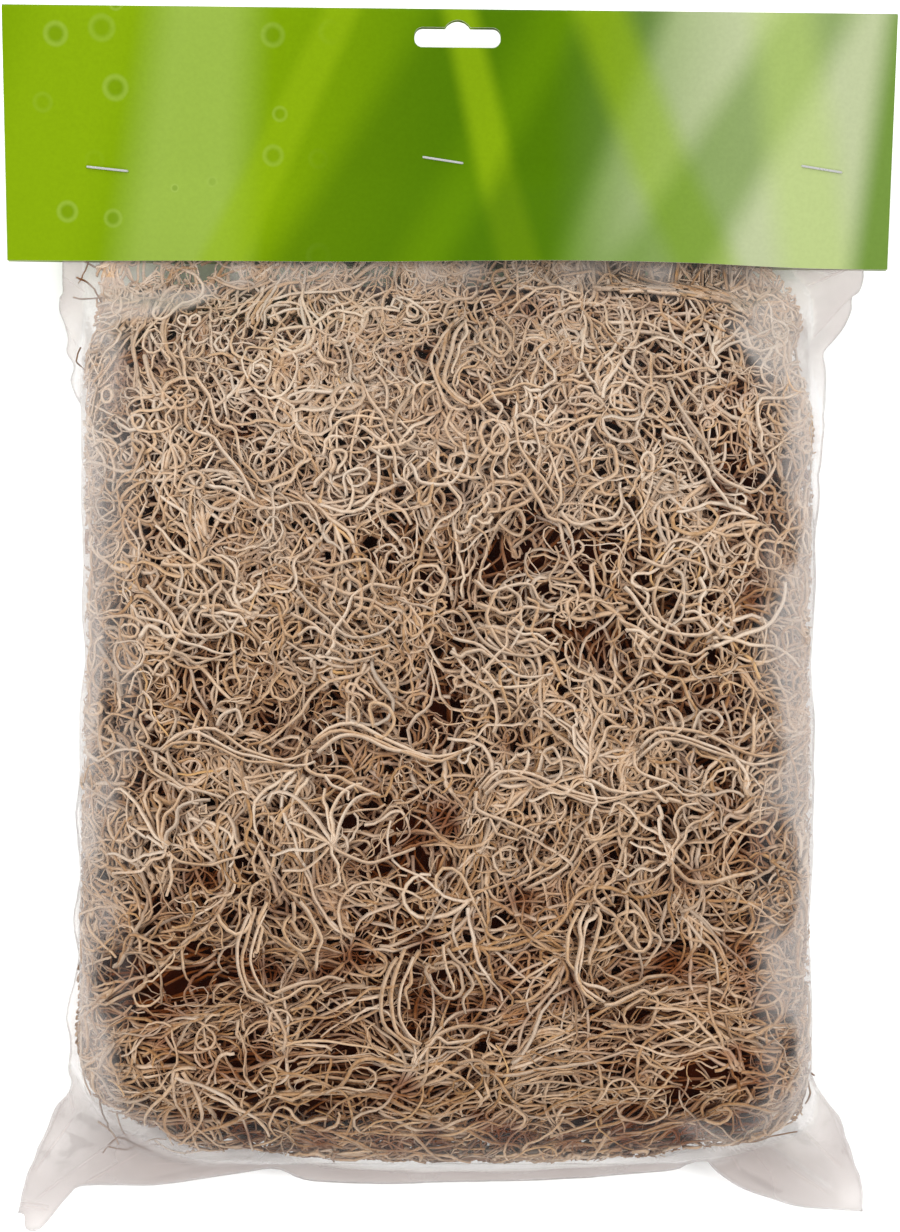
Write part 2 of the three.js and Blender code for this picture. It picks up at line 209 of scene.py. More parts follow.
# The bag's two sides: how far along the pack, and where the left and the right edge are there.
BAG_SIDES = (
    (-170.8, -130.5, 126.2), (-167.2, -129.1, 125.1), (-163.6, -127.7, 123.5), (-160, -126.3, 122.7),
    (-156.3, -124.8, 121.4), (-152.7, -122.7, 119.7), (-149.1, -120.9, 118.7), (-145.5, -119.5, 116.9),
    (-141.9, -117.7, 113.5), (-138.3, -114.4, 110.8), (-134.7, -112.9, 108.8), (-131, -113.8, 108), (-122,
    -113.3, 107), (-115.7, -114.1, 107.4), (-109.4, -113.3, 107.2), (-103.1, -111.8, 106.8), (-96.9, -110.6,
    106.4), (-90.6, -111.5, 105.7), (-84.3, -111.8, 105.9), (-78, -111, 106.6), (-71.7, -109.9, 107),
    (-65.5, -110.6, 108.3), (-59.2, -111.3, 108.1), (-52.9, -111.4, 108.5), (-46.6, -110.6, 108.6), (-40.4,
    -110.1, 108.5), (-34.1, -110.2, 108.7), (-27.8, -110, 108.9), (-21.5, -109.8, 108.2), (-15.2, -108.4,
    107.4), (-9, -106.7, 106.7), (-2.7, -107, 108.1), (3.6, -108.1, 108.2), (9.9, -108.2, 108.7), (16.2,
    -107.9, 108.9), (22.4, -107.6, 108.5), (28.7, -108.2, 108.4), (35, -108.6, 109.5), (41.3, -108.9,
    110.2), (47.6, -108.9, 109.9), (53.8, -108.8, 110.7), (60.1, -108.9, 111.2), (66.7, -110, 112), (70.9,
    -112.1, 112.2), (75.1, -113.9, 112.7), (79.2, -112.9, 112.4), (83.4, -114.9, 112.2), (87.6, -114.5,
    115.6), (91.8, -115.5, 118.7), (96, -117.3, 120.7), (100.2, -117.2, 120.8), (104.4, -116, 123.3),
    (134.5, -117, 126.6), (154, -117, 127),
)
# The bag's bottom edge and the pad's edge: the x and the y of each point in turn.
BAG_BOTTOM = (
    -131.9, -177.7, -129.8, -178.6, -129.4, -182.9, -124.8, -182.4, -116.6, -172.6, -110.8, -169, -89,
    -168.9, -63.5, -165, -56, -163.8, -51.4, -164.1, -42.3, -167.7, -20, -168.6, 0, -168, 30, -167.4, 54,
    -165.4, 68, -164.2, 73, -161.8, 78, -161.2, 81, -164.5, 89, -170, 99, -173.6, 108, -176, 126.2, -177.4,
)
PAD_EDGE = (
    -105, 101, -106, 90, -108, 80, -107, 66, -106.9, 39, -105.8, 9, -106.9, -20, -108.1, -50, -109, -80,
    -110, -105, -110.6, -121, -108.4, -129, -104.5, -136, -98, -140.7, -87, -146, -75, -153, -58, -153.8,
    -45, -156.5, -30, -159, 0, -160, 27, -159.6, 57, -157, 74, -153.3, 87, -152.7, 97.5, -150.6, 104, -147,
    105.4, -141, 106.3, -130, 105.7, -109.5, 105, -88.8, 105.8, -65, 105.7, -41.8, 105, -17.5, 105.8, 9.3,
    107.2, 39, 107.6, 60, 105.4, 72, 102, 83, 105, 92, 103, 100, 97, 107, 88, 113, 60, 117, 0, 117, -60,
    117, -101, 113,
)


@dataclass(frozen=True)
class BagSizes:
    """The welded film bag, as seen from its front and from its side."""

    flat_half: float = 0.5
    hem_y: float = 106
    flare_share: float = 0.4
    seam_z: float = 27
    corner_z: float = 8
    rise: float = 32
    sag: float = 1.14
    ear: float = 1.3
    left: Outline = Outline((-131.9, -177.7, *(number for y, x, _ in BAG_SIDES for number in (x, y))))
    right: Outline = Outline((126.2, -177.4, *(number for y, _, x in BAG_SIDES for number in (x, y))))
    bottom: Outline = Outline(BAG_BOTTOM)


@dataclass(frozen=True)
class PadSizes:
    """The pad of moss inside the bag."""

    middle_x: float = -1.2
    half_width: float = 104.8
    side_radius: float = 28
    bottom_y: float = -157.5
    bottom_radius: float = 42
    corner_radius: float = 30
    film_offset: float = 4
    outline: Outline = Outline(PAD_EDGE, closed=True)


def end_round(distance: Array, radius: Array | float) -> Array:
    """Rounding towards one end, from 0 at the end to 1 at a radius from it."""
    return np.sqrt(1 - (1 - np.clip(distance / radius, 0, 1)) ** 2)


@dataclass(frozen=True)
class PackForm:
    """The heights of the pack, shared by the film, the card and the moss."""

    card: CardSizes = CardSizes()
    bag: BagSizes = BagSizes()
    pad: PadSizes = PadSizes()
    origin: Span = (0.385, -0.221)

    def place(self, points: Array) -> Array:
        """Points of the drawing frame as points of the scene.

        Args:
            points: (x, y, z) rows in millimetres.

        Returns:
            The rows in metres.
        """
        return (np.asarray(points, float) + np.array([*self.origin, 0])) * MM

    def card_height(self, y: Array) -> Array:
        """Height of the middle between the card's panels, at a place along the pack."""
        return self.card.low_z + (y - self.card.low_y) * self.card.slope

    def seam_height(self, y: Array) -> Array:
        """Height of the plane of the side seams over the floor, at a place along the pack."""
        body = mix(self.bag.corner_z, self.bag.seam_z, smoothstep(y, -178, -118))
        return mix(body, self.card_height(y), smoothstep(y, 52, self.bag.hem_y - 2))

    def flare(self, x: Array, side: int) -> Array:
        """How far the moss pushes a panel of the card open at its lower edge.

        Args:
            x: Across the pack.
            side: 1 for the front panel, -1 for the back one.

        Returns:
            The openings from the panel's flat place.
        """
        card = self.card
        swell = card.flare_edge + card.flare_swell * np.exp(-(((x - card.flare_x) / card.flare_reach) ** 2))
        return swell * (1 - smoothstep(np.abs(x), 70, 122)) * (1 if side > 0 else card.flare_back)

    def flare_share(self, y: Array) -> Array:
        """The share of the flare that is left: 1 at the card's lower edge, 0 at the staples."""
        return np.clip((self.card.pinch_y - y) / (self.card.pinch_y - self.card.low_y), 0, 1)

    def half_width(self, y: Array, offset: float) -> Array:
        """Half the pad's width at a place along it, grown by an offset."""
        radius = self.pad.corner_radius + offset
        inset = radius * (1 - end_round(y - self.pad.bottom_y + offset, radius))
        return self.pad.half_width + offset - inset

    def rise(self, x: Array, y: Array, side: int) -> Array:
        """The bag's height over its seams away from its sides.

        Args:
            x: Across the pack.
            y: Along the pack.
            side: 1 for the front sheet, -1 for the back one.

        Returns:
            The heights.
        """
        bag, pad = self.bag, self.pad
        neck = bag.flat_half + bag.flare_share * self.flare(x, side) * self.flare_share(y)
        lumps = np.sin(0.047 * x + 0.9) * np.sin(0.036 * y)
        body = bag.rise + lumps if side > 0 else bag.sag * self.seam_height(y) + 1
        along = np.sin(QUARTER * np.clip((bag.hem_y - y) / 44, 0, 1))
        bottom = end_round(y - pad.bottom_y + pad.film_offset, pad.bottom_radius)
        return np.where(y >= bag.hem_y, neck, mix(neck, body, along) * bottom)

    def film_height(self, x: Array, y: Array, side: int) -> Array:
        """Height of a smooth sheet of the bag over the floor.

        Args:
            x: Across the pack.
            y: Along the pack.
            side: 1 for the front sheet, -1 for the back one.

        Returns:
            The heights.
        """
        bag, pad = self.bag, self.pad
        radius = pad.side_radius + pad.film_offset
        over = np.abs(x - pad.middle_x) - (self.half_width(y, pad.film_offset) - radius)
        rounding = np.sqrt(1 - np.clip(over / radius, 0, 1) ** 2)
        corner = bag.ear * smoothstep(np.abs(x), 60, 100) * (1 - smoothstep(y, -150, -120))
        up = np.maximum(self.rise(x, y, side) * rounding, bag.flat_half + corner)
        seam = self.seam_height(y)
        return seam + up if side > 0 else np.maximum(0, seam - up)


# ---- Meshes ----


def write_mesh(
    name: str,
    points: Array,
    polygons: Sequence[Array],
    values: dict[str, Array] | None = None,
) -> Object:
    """Makes a mesh object in the scene.

    Args:
        name: The piece's name.
        points: (x, y, z) rows in metres.
        polygons: Arrays of vertex numbers, one row for each face.
        values: Numbers for each vertex, by the name of their attribute.

    Returns:
        The object, linked to the scene.
    """
    mesh = bpy.data.meshes.new(name)
    corners = np.concatenate([rows.ravel() for rows in polygons]).astype(np.int32)
    sizes = np.concatenate([np.full(len(rows), rows.shape[1]) for rows in polygons])
    starts = np.concatenate([[0], np.cumsum(sizes)[:-1]]).astype(np.int32)
    mesh.vertices.add(len(points))
    mesh.vertices.foreach_set("co", points.astype(np.float32).ravel())
    mesh.loops.add(len(corners))
    mesh.loops.foreach_set("vertex_index", corners)
    mesh.polygons.add(len(starts))
    mesh.polygons.foreach_set("loop_start", starts)
    mesh.polygons.foreach_set("use_smooth", np.full(len(starts), True))
    mesh.update(calc_edges=True)
    for label, numbers in (values or {}).items():
        attribute = mesh.attributes.new(label, "FLOAT", "POINT")
        attribute.data.foreach_set("value", numbers.astype(np.float32).ravel())
    mesh.validate()
    piece = bpy.data.objects.new(name, mesh)
    bpy.context.scene.collection.objects.link(piece)
    return piece


def finish_piece(piece: Object, slot: str, node: str, *finishes: Material) -> None:
    """Mounts a piece on the pack, in place of its plain solid.

    Args:
        piece: The piece.
        slot: Not used.
        node: The CAD node it stands for.
        finishes: Materials it doesn't have yet.
    """
    for finish in finishes:
        piece.data.materials.append(finish)
    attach(piece, BODY)
    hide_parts(node)
    triangles = sum(len(face.vertices) - 2 for face in piece.data.polygons)
    log.info("%s: %d triangles", piece.name, triangles)


def strip_faces(first: Array, second: Array) -> Array:
    """Quads between vertex numbers and the ones beside them."""
    return np.stack([first[:-1], first[1:], second[1:], second[:-1]], axis=-1).reshape(-1, 4)


def tube_rings(points: Array, radii: Array, sides: int, flatten: float = 1.0) -> Array:
    """Rings round a set of routes.

    Args:
        points: Routes as [route, step, xyz].
        radii: Radius at each step of each route.
        sides: Corners of each ring.
        flatten: Height of the section as a share of its width.

    Returns:
        The ring corners as [route, step, corner, xyz].
    """
    tangents = np.gradient(points, axis=1)
    tangents /= np.maximum(np.linalg.norm(tangents, axis=2, keepdims=True), TINY)
    across = np.cross(tangents[:, 0], UP)
    steep = np.linalg.norm(across, axis=1) < STEEP
    across[steep] = np.cross(tangents[steep, 0], SIDEWAYS)
    frames = np.empty_like(points)
    for step in range(points.shape[1]):
        tangent = tangents[:, step]
        across = across - np.sum(across * tangent, axis=1, keepdims=True) * tangent
        across /= np.maximum(np.linalg.norm(across, axis=1, keepdims=True), TINY)
        frames[:, step] = across
    out = np.cross(tangents, frames) * flatten
    angles = TAU * np.arange(sides) / sides
    offsets = frames[:, :, None] * np.cos(angles)[:, None] + out[:, :, None] * np.sin(angles)[:, None]
    return points[:, :, None] + radii[:, :, None, None] * offsets


def tube_faces(routes: int, steps: int, sides: int, first: int) -> list[Array]:
    """Faces of a set of closed tubes whose corners follow each other.

    Args:
        routes: How many tubes.
        steps: Rings in each tube.
        sides: Corners in each ring.
        first: Number of the first corner.

    Returns:
        The quads and the end caps.
    """
    number = first + np.arange(routes * steps * sides).reshape(routes, steps, sides)
    turned = np.roll(number, -1, axis=2)
    quads = np.stack([number[:, :-1], turned[:, :-1], turned[:, 1:], number[:, 1:]], axis=-1)
    caps = np.concatenate([number[:, 0, ::-1], number[:, -1]])
    return [quads.reshape(-1, 4), caps]


# ---- Moss ----


class Sheet(Enum):
    """Which sheet of the bag a strand lies against."""

    FRONT = 1
    BACK = -1


@dataclass
class Strands:
    """Grown strands: each array holds one row for each strand, and one column for each step."""

    xy: Array
    heading: Array
    depth: Array
    radius: Array
    tone: Array
    warmth: Array
    sheet: Sheet = Sheet.FRONT
    height: Array | None = None

    @property
    def count(self) -> int:
        """How many strands there are."""
        return len(self.xy)

    def part(self, rows: slice) -> "Strands":
        """Some of the strands."""
        return Strands(*(getattr(self, field.name)[rows] for field in fields(self)[:6]))


@dataclass(frozen=True)
class Growth:
    """How one kind of strand grows. Pairs are ranges, and each strand draws its own value.

    Attributes:
        count: How many strands.
        steps: Points along each.
        length: Its length.
        bend: Its steady curvature, turned either way.
        wander: How much the curvature changes along it.
        radius: Half its thickness.
        tone: From 0, dark, to 1, pale.
        curl: Curvature added towards its tip.
        depth: How deep it lies under the film.
        waves: How much the depth changes along it.
        taper: Share of the thickness that its tip loses.
        follow: How strongly it follows the grain of the tangle.
        spill: How far it may stray out of the pad's outline.
    """

    count: int
    steps: int
    length: Span
    bend: Span
    wander: float
    radius: Span
    tone: Span
    curl: Span = (0, 0)
    depth: Span = (0, 4)
    waves: float = 0.8
    taper: float = 0.3
    follow: float = 0.0
    spill: float = 0.6


@dataclass(frozen=True)
class Figure:
    """Strands that cross in a set way, laid on top of the tangle at several places.

    Attributes:
        curves: The x and y of each strand's points in turn, round the figure's own middle.
        places: Where the figure lies.
        radius: Range of half the thickness.
        tone: Range from 0, dark, to 1, pale.
        depth: How deep it lies; less than nothing puts it over the tangle's hollows.
        jitter: How far each placing of a strand wanders off its points.
    """

    curves: tuple[tuple[float, ...], ...]
    places: tuple[Span, ...] = ((0.0, 0.0),)
    radius: Span = (0.58, 0.8)
    tone: Span = (0.55, 0.92)
    depth: float = -3.2
    jitter: float = 1.8


class Room:
    """The room for moss inside the film, kept on a grid."""

    cell = 1.0
    low = (-136.0, -190.0)
    size = (273, 381)
    border = 1.001
    clearance = 0.5
    seam_gap = 1.2
    edge_samples = 360
    least_slope = 0.2
    least_half = 0.05

    def __init__(self, form: PackForm) -> None:
        """Works out the room's heights and how far each place is inside the pad's outline.

        Args:
            form: The pack's form.
        """
        self.form = form
        x, y = self.places = np.meshgrid(
            *(low + self.cell * np.arange(size) for low, size in zip(self.low, self.size)), indexing="ij"
        )
        self.top = form.film_height(x, y, 1) - self.clearance
        self.bottom = form.film_height(x, y, -1) + self.clearance
        edge = form.pad.outline.even(np.linspace(0, 1, self.edge_samples, endpoint=False))
        shares = np.linspace(0, 1, self.edge_samples)
        left, right = (np.interp(y, *side.at(shares).T[::-1]) for side in (form.bag.left, form.bag.right))
        in_film = np.minimum(x - left - self.seam_gap, right - x - self.seam_gap)
        self.inside = np.minimum(self._inside(x, y, edge), in_film)
        self.slope_x, self.slope_y = np.gradient(self.inside, self.cell)

    @staticmethod
    def _inside(x: Array, y: Array, edge: Array) -> Array:
        """Distances from a closed outline, positive inside it.

        Args:
            x: Across the pack.
            y: Along the pack.
            edge: The outline's points.

        Returns:
            One distance for each place.
        """
        nearest = np.full(x.shape, np.inf)
        crossings = np.zeros(x.shape, int)
        for (ax, ay), (bx, by) in zip(edge, np.roll(edge, -1, axis=0)):
            nearest = np.minimum(nearest, np.hypot(x - ax, y - ay))
            if ay != by:
                spans = (ay > y) != (by > y)
                crossings += spans & (x < ax + (bx - ax) * (y - ay) / (by - ay))
        return np.where(crossings % 2 == 1, nearest, -nearest)

    def sample(self, grid: Array, x: Array, y: Array) -> Array:
        """Values of one of the room's grids between its points.

        Args:
            grid: The grid.
            x: Across the pack.
            y: Along the pack.

        Returns:
            One value for each place.
        """
        across, along = (
            np.clip((value - low) / self.cell, 0, size - self.border)
            for value, low, size in zip((x, y), self.low, self.size)
        )
        i, j = across.astype(int), along.astype(int)
        u, v = across - i, along - j
        return mix(mix(grid[i, j], grid[i + 1, j], u), mix(grid[i, j + 1], grid[i + 1, j + 1], u), v)

    def within(self, x: Array, y: Array) -> Array:
        """How far some places are inside the pad's outline."""
        return self.sample(self.inside, x, y)

    def inward(self, x: Array, y: Array) -> tuple[Array, Array]:
        """The x and y of the way into the pad at some places."""
        return self.sample(self.slope_x, x, y), self.sample(self.slope_y, x, y)

    def unit_inward(self, x: Array, y: Array) -> tuple[Array, Array]:
        """The same as inward, with a length of 1."""
        ix, iy = self.inward(x, y)
        length = np.maximum(np.hypot(ix, iy), self.least_slope)
        return ix / length, iy / length

    def heights(self, x: Array, y: Array) -> tuple[Array, Array]:
        """Heights of the room's bottom and of its top at some places."""
        return self.sample(self.bottom, x, y), self.sample(self.top, x, y)


class Grower:
    """Grows strands in the room under the film."""

    field = ((-112, 112), (-162, 116))
    even_steps = (0.7548776662, 0.5698402910)
    level_span = (55, 110)
    swirl = 0.55
    wall_reach = 5.0
    wall_turn = 0.12
    wall_facing = 0.25
    front_hills = 3.2
    front_swell = (0.62, 1.3)
    back_hills = 0.6
    hill_heights = (0.3, 0.08, 0.5)
    hollow_radius = 3.2
    hollow_bare = (0.7, 0.8)
    kink = 0.12
    spill_spread = 2.4
    lane_span = 4000
    thickness_ripple = 0.16
    tone_ripple = 0.08
    warmth_spread = 0.35
    straw_share = 0.006
    straw = 2.5
    leaf_share = 0.9
    side_length = 760.0
    side_share = 0.83
    side_gap = 0.8

    def __init__(self, room: Room, seed: int) -> None:
        """Sets the grower up.

        Args:
            room: The room inside the film.
            seed: Seed of every random draw.
        """
        self.room = room
        self.rng = np.random.default_rng(seed)
        self.grain = Noise(5, 62.0)
        self.hills = (Noise(21, 13.0), Noise(22, 5.5))
        self.clumps = Noise(23, 9.0)
        x, y = room.places
        spread = 2 * self.hollow_radius**2
        self.hollows = sum(
            depth * np.exp(-((x - cx) ** 2 + (y - cy) ** 2) / spread) for cx, cy, depth in HOLLOWS
        )

    def draw(self, span: Span, count: int) -> Array:
        """Draws numbers from a range."""
        return self.rng.uniform(span[0], span[1], count)

    def draw_either(self, span: Span, count: int) -> Array:
        """Draws numbers from a range and gives each one a random sign."""
        return self.draw(span, count) * self.rng.choice([-1, 1], count)

    def draw_heading(self, x: Array, y: Array, spread: Array | float) -> Array:
        """Draws directions near the grain, either way along it."""
        near = self.grain_angle(x, y) + self.rng.normal(0, spread, len(x))
        return near + math.pi * self.rng.integers(0, 2, len(x))

    def draw_lanes(self, count: int) -> Array:
        """Draws where each strand reads the noise, so that no two look alike."""
        return self.rng.uniform(0, self.lane_span, (count, 1))

    def grain_angle(self, x: Array, y: Array) -> Array:
        """The direction in which the strands lie at some places.

        Args:
            x: Across the pack.
            y: Along the pack.

        Returns:
            Angles, of which a half turn is the same direction.
        """
        swirl = TAU * self.swirl * self.grain.at(x, y)
        level = self.level(y)
        across = 0.2 + 0.15 * np.sin(0.05 * x)
        c = mix(np.cos(2 * swirl), np.cos(2 * across), level)
        s = mix(np.sin(2 * swirl), np.sin(2 * across), level)
        return np.arctan2(s, c) / 2

    def level(self, y: Array) -> Array:
        """How much the strands lie level, which they do along the pack's bottom."""
        return smoothstep(-y, *self.level_span)

    def scatter(self, count: int, low_inside: float = 1.0, clumped: float = 0.0) -> tuple[Array, Array]:
        """Places spread over the pad.

        Args:
            count: How many.
            low_inside: How far inside the outline they stay.
            clumped: How much they gather in clumps, from 0 to 1.

        Returns:
            Their x and y.
        """
        tried = count * 3
        turn = self.rng.random(2)[:, None]
        shares = (turn + np.arange(tried) * np.array(self.even_steps)[:, None]) % 1
        x, y = (mix(*span, share) for span, share in zip(self.field, shares))
        bare = clumped * smoothstep(-self.clumps.at(x, y), -0.1, 0.5)
        bare = np.maximum(bare, self.hollow_bare[0] * self.room.sample(self.hollows, x, y))
        kept = (self.room.within(x, y) > low_inside) & (self.rng.random(tried) > bare)
        jitter = self.rng.normal(0, 1, (2, int(kept.sum())))
        return (x[kept] + jitter[0])[:count], (y[kept] + jitter[1])[:count]

    def rim(self, count: int, width: float = 15.0) -> tuple[Array, Array]:
        """Places spread evenly over the pad's rounded sides.

        Args:
            count: How many.
            width: How far in they reach.

        Returns:
            Their x and y.
        """
        ex, ey = self.room.form.pad.outline.even(self.draw((0, self.side_share), count)).T
        reach = width * (1 - np.cos(self.draw((0.15, QUARTER), count)))
        ix, iy = self.room.unit_inward(ex, ey)
        x, y = ex + ix * reach, ey + iy * reach
        kept = self.rng.random(count) > self.hollow_bare[1] * self.room.sample(self.hollows, x, y)
        return x[kept], y[kept]

    def grow(
        self,
        growth: Growth,
        x: Array,
        y: Array,
        heading: Array | None = None,
        depth: Array | None = None,
        sheet: Sheet = Sheet.FRONT,
        bend: Array | None = None,
        together: int = 1,
    ) -> Strands:
        """Grows strands from their starting places.

        Args:
            growth: How they grow.
            x: Where they start, across the pack.
            y: Where they start, along it.
            heading: Their first direction, or None for one near the grain.
            depth: Their depth at the start, or None to draw it.
            sheet: The sheet they lie against.
            bend: Their steady curvature, or None to draw it.
            together: How many strands in a row wander alike.

        Returns:
            The strands.
        """
        rng, room, count, last = self.rng, self.room, len(x), growth.steps - 1
        if heading is None:
            heading = self.draw_heading(x, y, 0.5 * (1 - 0.5 * self.level(y)))
        if bend is None:
            bend = self.draw_either(growth.bend, count)
        if depth is None:
            depth = self.draw(growth.depth, count)
        step = self.draw(growth.length, count) / last
        curl = self.draw(growth.curl, count) * np.sign(bend + TINY)
        wobble = self._wobble(count, growth.steps, together)
        routes = np.empty((3, count, growth.steps))
        routes[..., 0] = x, y, heading
        for i in range(1, growth.steps):
            px, py, angle = routes[..., i - 1]
            level, off_grain = self.level(py), self.grain_angle(px, py) - angle
            turn = (1 - 0.4 * level) * (bend + growth.wander * wobble[:, i] + curl * (i / last) ** 2)
            turn += growth.follow * (1 + 4 * level) * np.sin(2 * off_grain)
            angle = angle + (turn + self._turned_back(px, py, angle)) * step
            routes[..., i] = px + np.cos(angle) * step, py + np.sin(angle) * step, angle
        kept = self._kept(*routes[:2], growth.spill)
        xs, ys, headings = (self._cut(values, kept) for values in routes)
        xs, ys = (values + rng.normal(0, self.kink, values.shape) for values in (xs, ys))
        out = np.maximum(-growth.spill - room.within(xs, ys), 0)
        xs = xs + out * room.inward(xs, ys)[0]
        ys = ys + out * room.inward(xs, ys)[1]
        lane = self.draw_lanes(count)
        run = np.linspace(0, 1, growth.steps) * (step * kept / last)[:, None] * last
        wide, fine = Noise(31, 13.0).at(run, lane), Noise(32, 6.0).at(run, lane)
        radius = self._thickness(growth.radius, growth.taper, run, lane) * (1 - 0.12 * self.level(ys))
        tone = self._tone(growth.tone, run, lane)
        depths = depth[:, None] + (growth.waves * wide + growth.waves * 0.5 * fine)
        warmth = np.clip(rng.normal(0, self.warmth_spread, count), -1, 0.9)
        warmth[rng.random(count) < self.straw_share] = self.straw
        warmth = np.broadcast_to(warmth[:, None], xs.shape)
        xy = np.stack([xs, ys], axis=-1)
        return Strands(xy, headings, depths, radius, self._lit(tone, ys, depths), warmth, sheet)

    def _wobble(self, count: int, steps: int, together: int) -> Array:
        """Draws how each strand's curvature changes along it.

        Args:
            count: How many strands.
            steps: Points along each.
            together: How many strands in a row wander alike.

        Returns:
            Values as [strand, step].
        """
        wobble = self.rng.normal(0, 1, (count, steps))
        if together > 1:
            wobble = 0.93 * wobble[np.arange(count) // together * together] + 0.3 * wobble
        for shift in (1, 2):
            wobble = (wobble + np.roll(wobble, shift, axis=1)) / math.sqrt(2)
        return wobble

    def _turned_back(self, x: Array, y: Array, angle: Array) -> Array:
        """Curvature that keeps strands from leaving the pad.

        Args:
            x: Across the pack.
            y: Along the pack.
            angle: The strands' directions there.

        Returns:
            The curvatures.
        """
        ix, iy = self.room.inward(x, y)
        close = np.clip(1 - self.room.within(x, y) / self.wall_reach, 0, 1.5)
        facing = np.cos(angle) * ix + np.sin(angle) * iy
        side = np.sign(np.cos(angle) * iy - np.sin(angle) * ix + TINY)
        return np.where(facing < self.wall_facing, close * self.wall_turn * side, 0)

    def _thickness(self, span: Span, taper: float, run: Array, lane: Array) -> Array:
        """Draws how thick strands are along their length.

        Args:
            span: Range of half the thickness.
            taper: Share of it that the tip loses.
            run: Lengths from the start, as [strand, step].
            lane: Each strand's place in the noise.

        Returns:
            Radii as [strand, step].
        """
        share = np.linspace(0, 1, run.shape[1])
        ripple = 1 + self.thickness_ripple * Noise(33, 3.4).at(run, lane)
        return self.draw(span, len(lane))[:, None] * (1 - taper * share**2) * ripple

    def _tone(self, span: Span, run: Array, lane: Array) -> Array:
        """Draws how pale strands are along their length, from a range."""
        return self.draw(span, len(lane))[:, None] + self.tone_ripple * Noise(34, 7.0).at(run, lane)

    @staticmethod
    def _lit(tone: Array, y: Array, depth: Array) -> Array:
        """Makes strands paler towards the header and darker towards the bottom, and paints shade on the
        deep ones along the bottom.

        Args:
            tone: Their drawn tones.
            y: Along the pack.
            depth: How deep they lie.

        Returns:
            The new tones.
        """
        # Deep strands along the bottom are darkened: painted shade.
        sunk = (0.1 + 0.4 * smoothstep(depth, 0.8, 3.2)) * smoothstep(-y, 130, 148)
        return tone + 0.03 + 0.18 * smoothstep(y, -20, 80) - 0.1 * smoothstep(-y, 20, 110) - sunk

    def _kept(self, xs: Array, ys: Array, spill: float) -> Array:
        """Steps of each strand before it leaves the pad's outline.

        Args:
            xs: Places of its points across the pack.
            ys: Places of its points along the pack.
            spill: How far it may stray out of the outline.

        Returns:
            One number for each strand.
        """
        limit = self.draw((-spill, -spill + self.spill_spread), len(xs))[:, None]
        gone = self.room.within(xs, ys) < limit
        gone[:, :2] = False
        return np.where(gone.any(axis=1), np.argmax(gone, axis=1), xs.shape[1] - 1).astype(float)

    @staticmethod
    def _cut(values: Array, kept: Array) -> Array:
        """Rows of values stretched so that only their first steps are left.

        Args:
            values: The rows.
            kept: How many steps each row keeps.

        Returns:
            Rows of the same length.
        """
        last = values.shape[1] - 1
        place = np.linspace(0, 1, last + 1)[None] * kept[:, None]
        low = np.minimum(place.astype(int), last - 1)
        rows = np.arange(len(values))[:, None]
        return mix(values[rows, low], values[rows, low + 1], place - low)

    def leaves(self, stems: Strands, growth: Growth, every: int, spread: Span) -> Strands:
        """Grows leaves from the nodes of some stems.

        Args:
            stems: The stems.
            growth: How a leaf grows.
            every: Steps of the stem from node to node.
            spread: Range of the angle between a leaf and its stem.

        Returns:
            The leaves.
        """
        nodes = np.repeat(np.arange(1, stems.xy.shape[1] - 1, every), 2)
        stem, index = np.nonzero(self.rng.random((stems.count, len(nodes))) < self.leaf_share)
        count, index = len(stem), nodes[index]
        x, y = stems.xy[stem, index].T
        side = self.rng.choice([-1, 1], count)
        turned = self.draw(spread, count) * (1 - 0.55 * self.level(y))
        heading = stems.heading[stem, index] + side * turned
        depth = stems.depth[stem, index] + self.rng.normal(0, 0.7, count)
        bend = self.draw(growth.bend, count) * -side * self.rng.choice([1, 1, -1], count)
        return self.grow(growth, x, y, heading, depth, bend=bend)

    def tufts(self, growth: Growth, each: int, fan: float) -> Strands:
        """Grows tufts, whose strands fan out of one thick node.

        Args:
            growth: How a strand of a tuft grows; its count is the number of tufts.
            each: Strands in a tuft.
            fan: Half the angle of the fan.

        Returns:
            The strands.
        """
        x, y = self.scatter(growth.count, 14)
        centres = np.stack([x, y, self.draw((0, TAU), len(x))])
        x, y, heading = np.repeat(centres, each, axis=1)
        turned = self.draw((-fan, fan), len(x))
        bend = -np.sign(turned) * self.draw(growth.bend, len(x))
        start = self.rng.normal(0, 1.2, (2, len(x)))
        return self.grow(growth, x + start[0], y + start[1], heading + turned, bend=bend)

    def bundles(self, growth: Growth, each: int, gap: float) -> Strands:
        """Grows bundles of strands that lie side by side.

        Args:
            growth: How a strand grows; its count is the number of bundles.
            each: Strands in a bundle.
            gap: Distance between two neighbours.

        Returns:
            The strands.
        """
        rng = self.rng
        x, y = self.scatter(growth.count, 5, 0.35)
        heading = self.draw_heading(x, y, 0.5)
        bend = self.draw_either(growth.bend, len(x))
        depth = self.draw(growth.depth, len(x))
        lane = (np.tile(np.arange(each), len(x)) - (each - 1) / 2) * gap
        x, y, heading, bend, depth = np.repeat([x, y, heading, bend, depth], each, axis=1)
        count = len(x)
        start = rng.normal(0, 5, count)
        x = x - np.sin(heading) * lane + np.cos(heading) * start
        y = y + np.cos(heading) * lane + np.sin(heading) * start
        heading = heading + rng.normal(0, 0.06, count)
        depth = depth + rng.uniform(0, 1.2, count)
        return self.grow(growth, x, y, heading, depth, bend=bend, together=each)

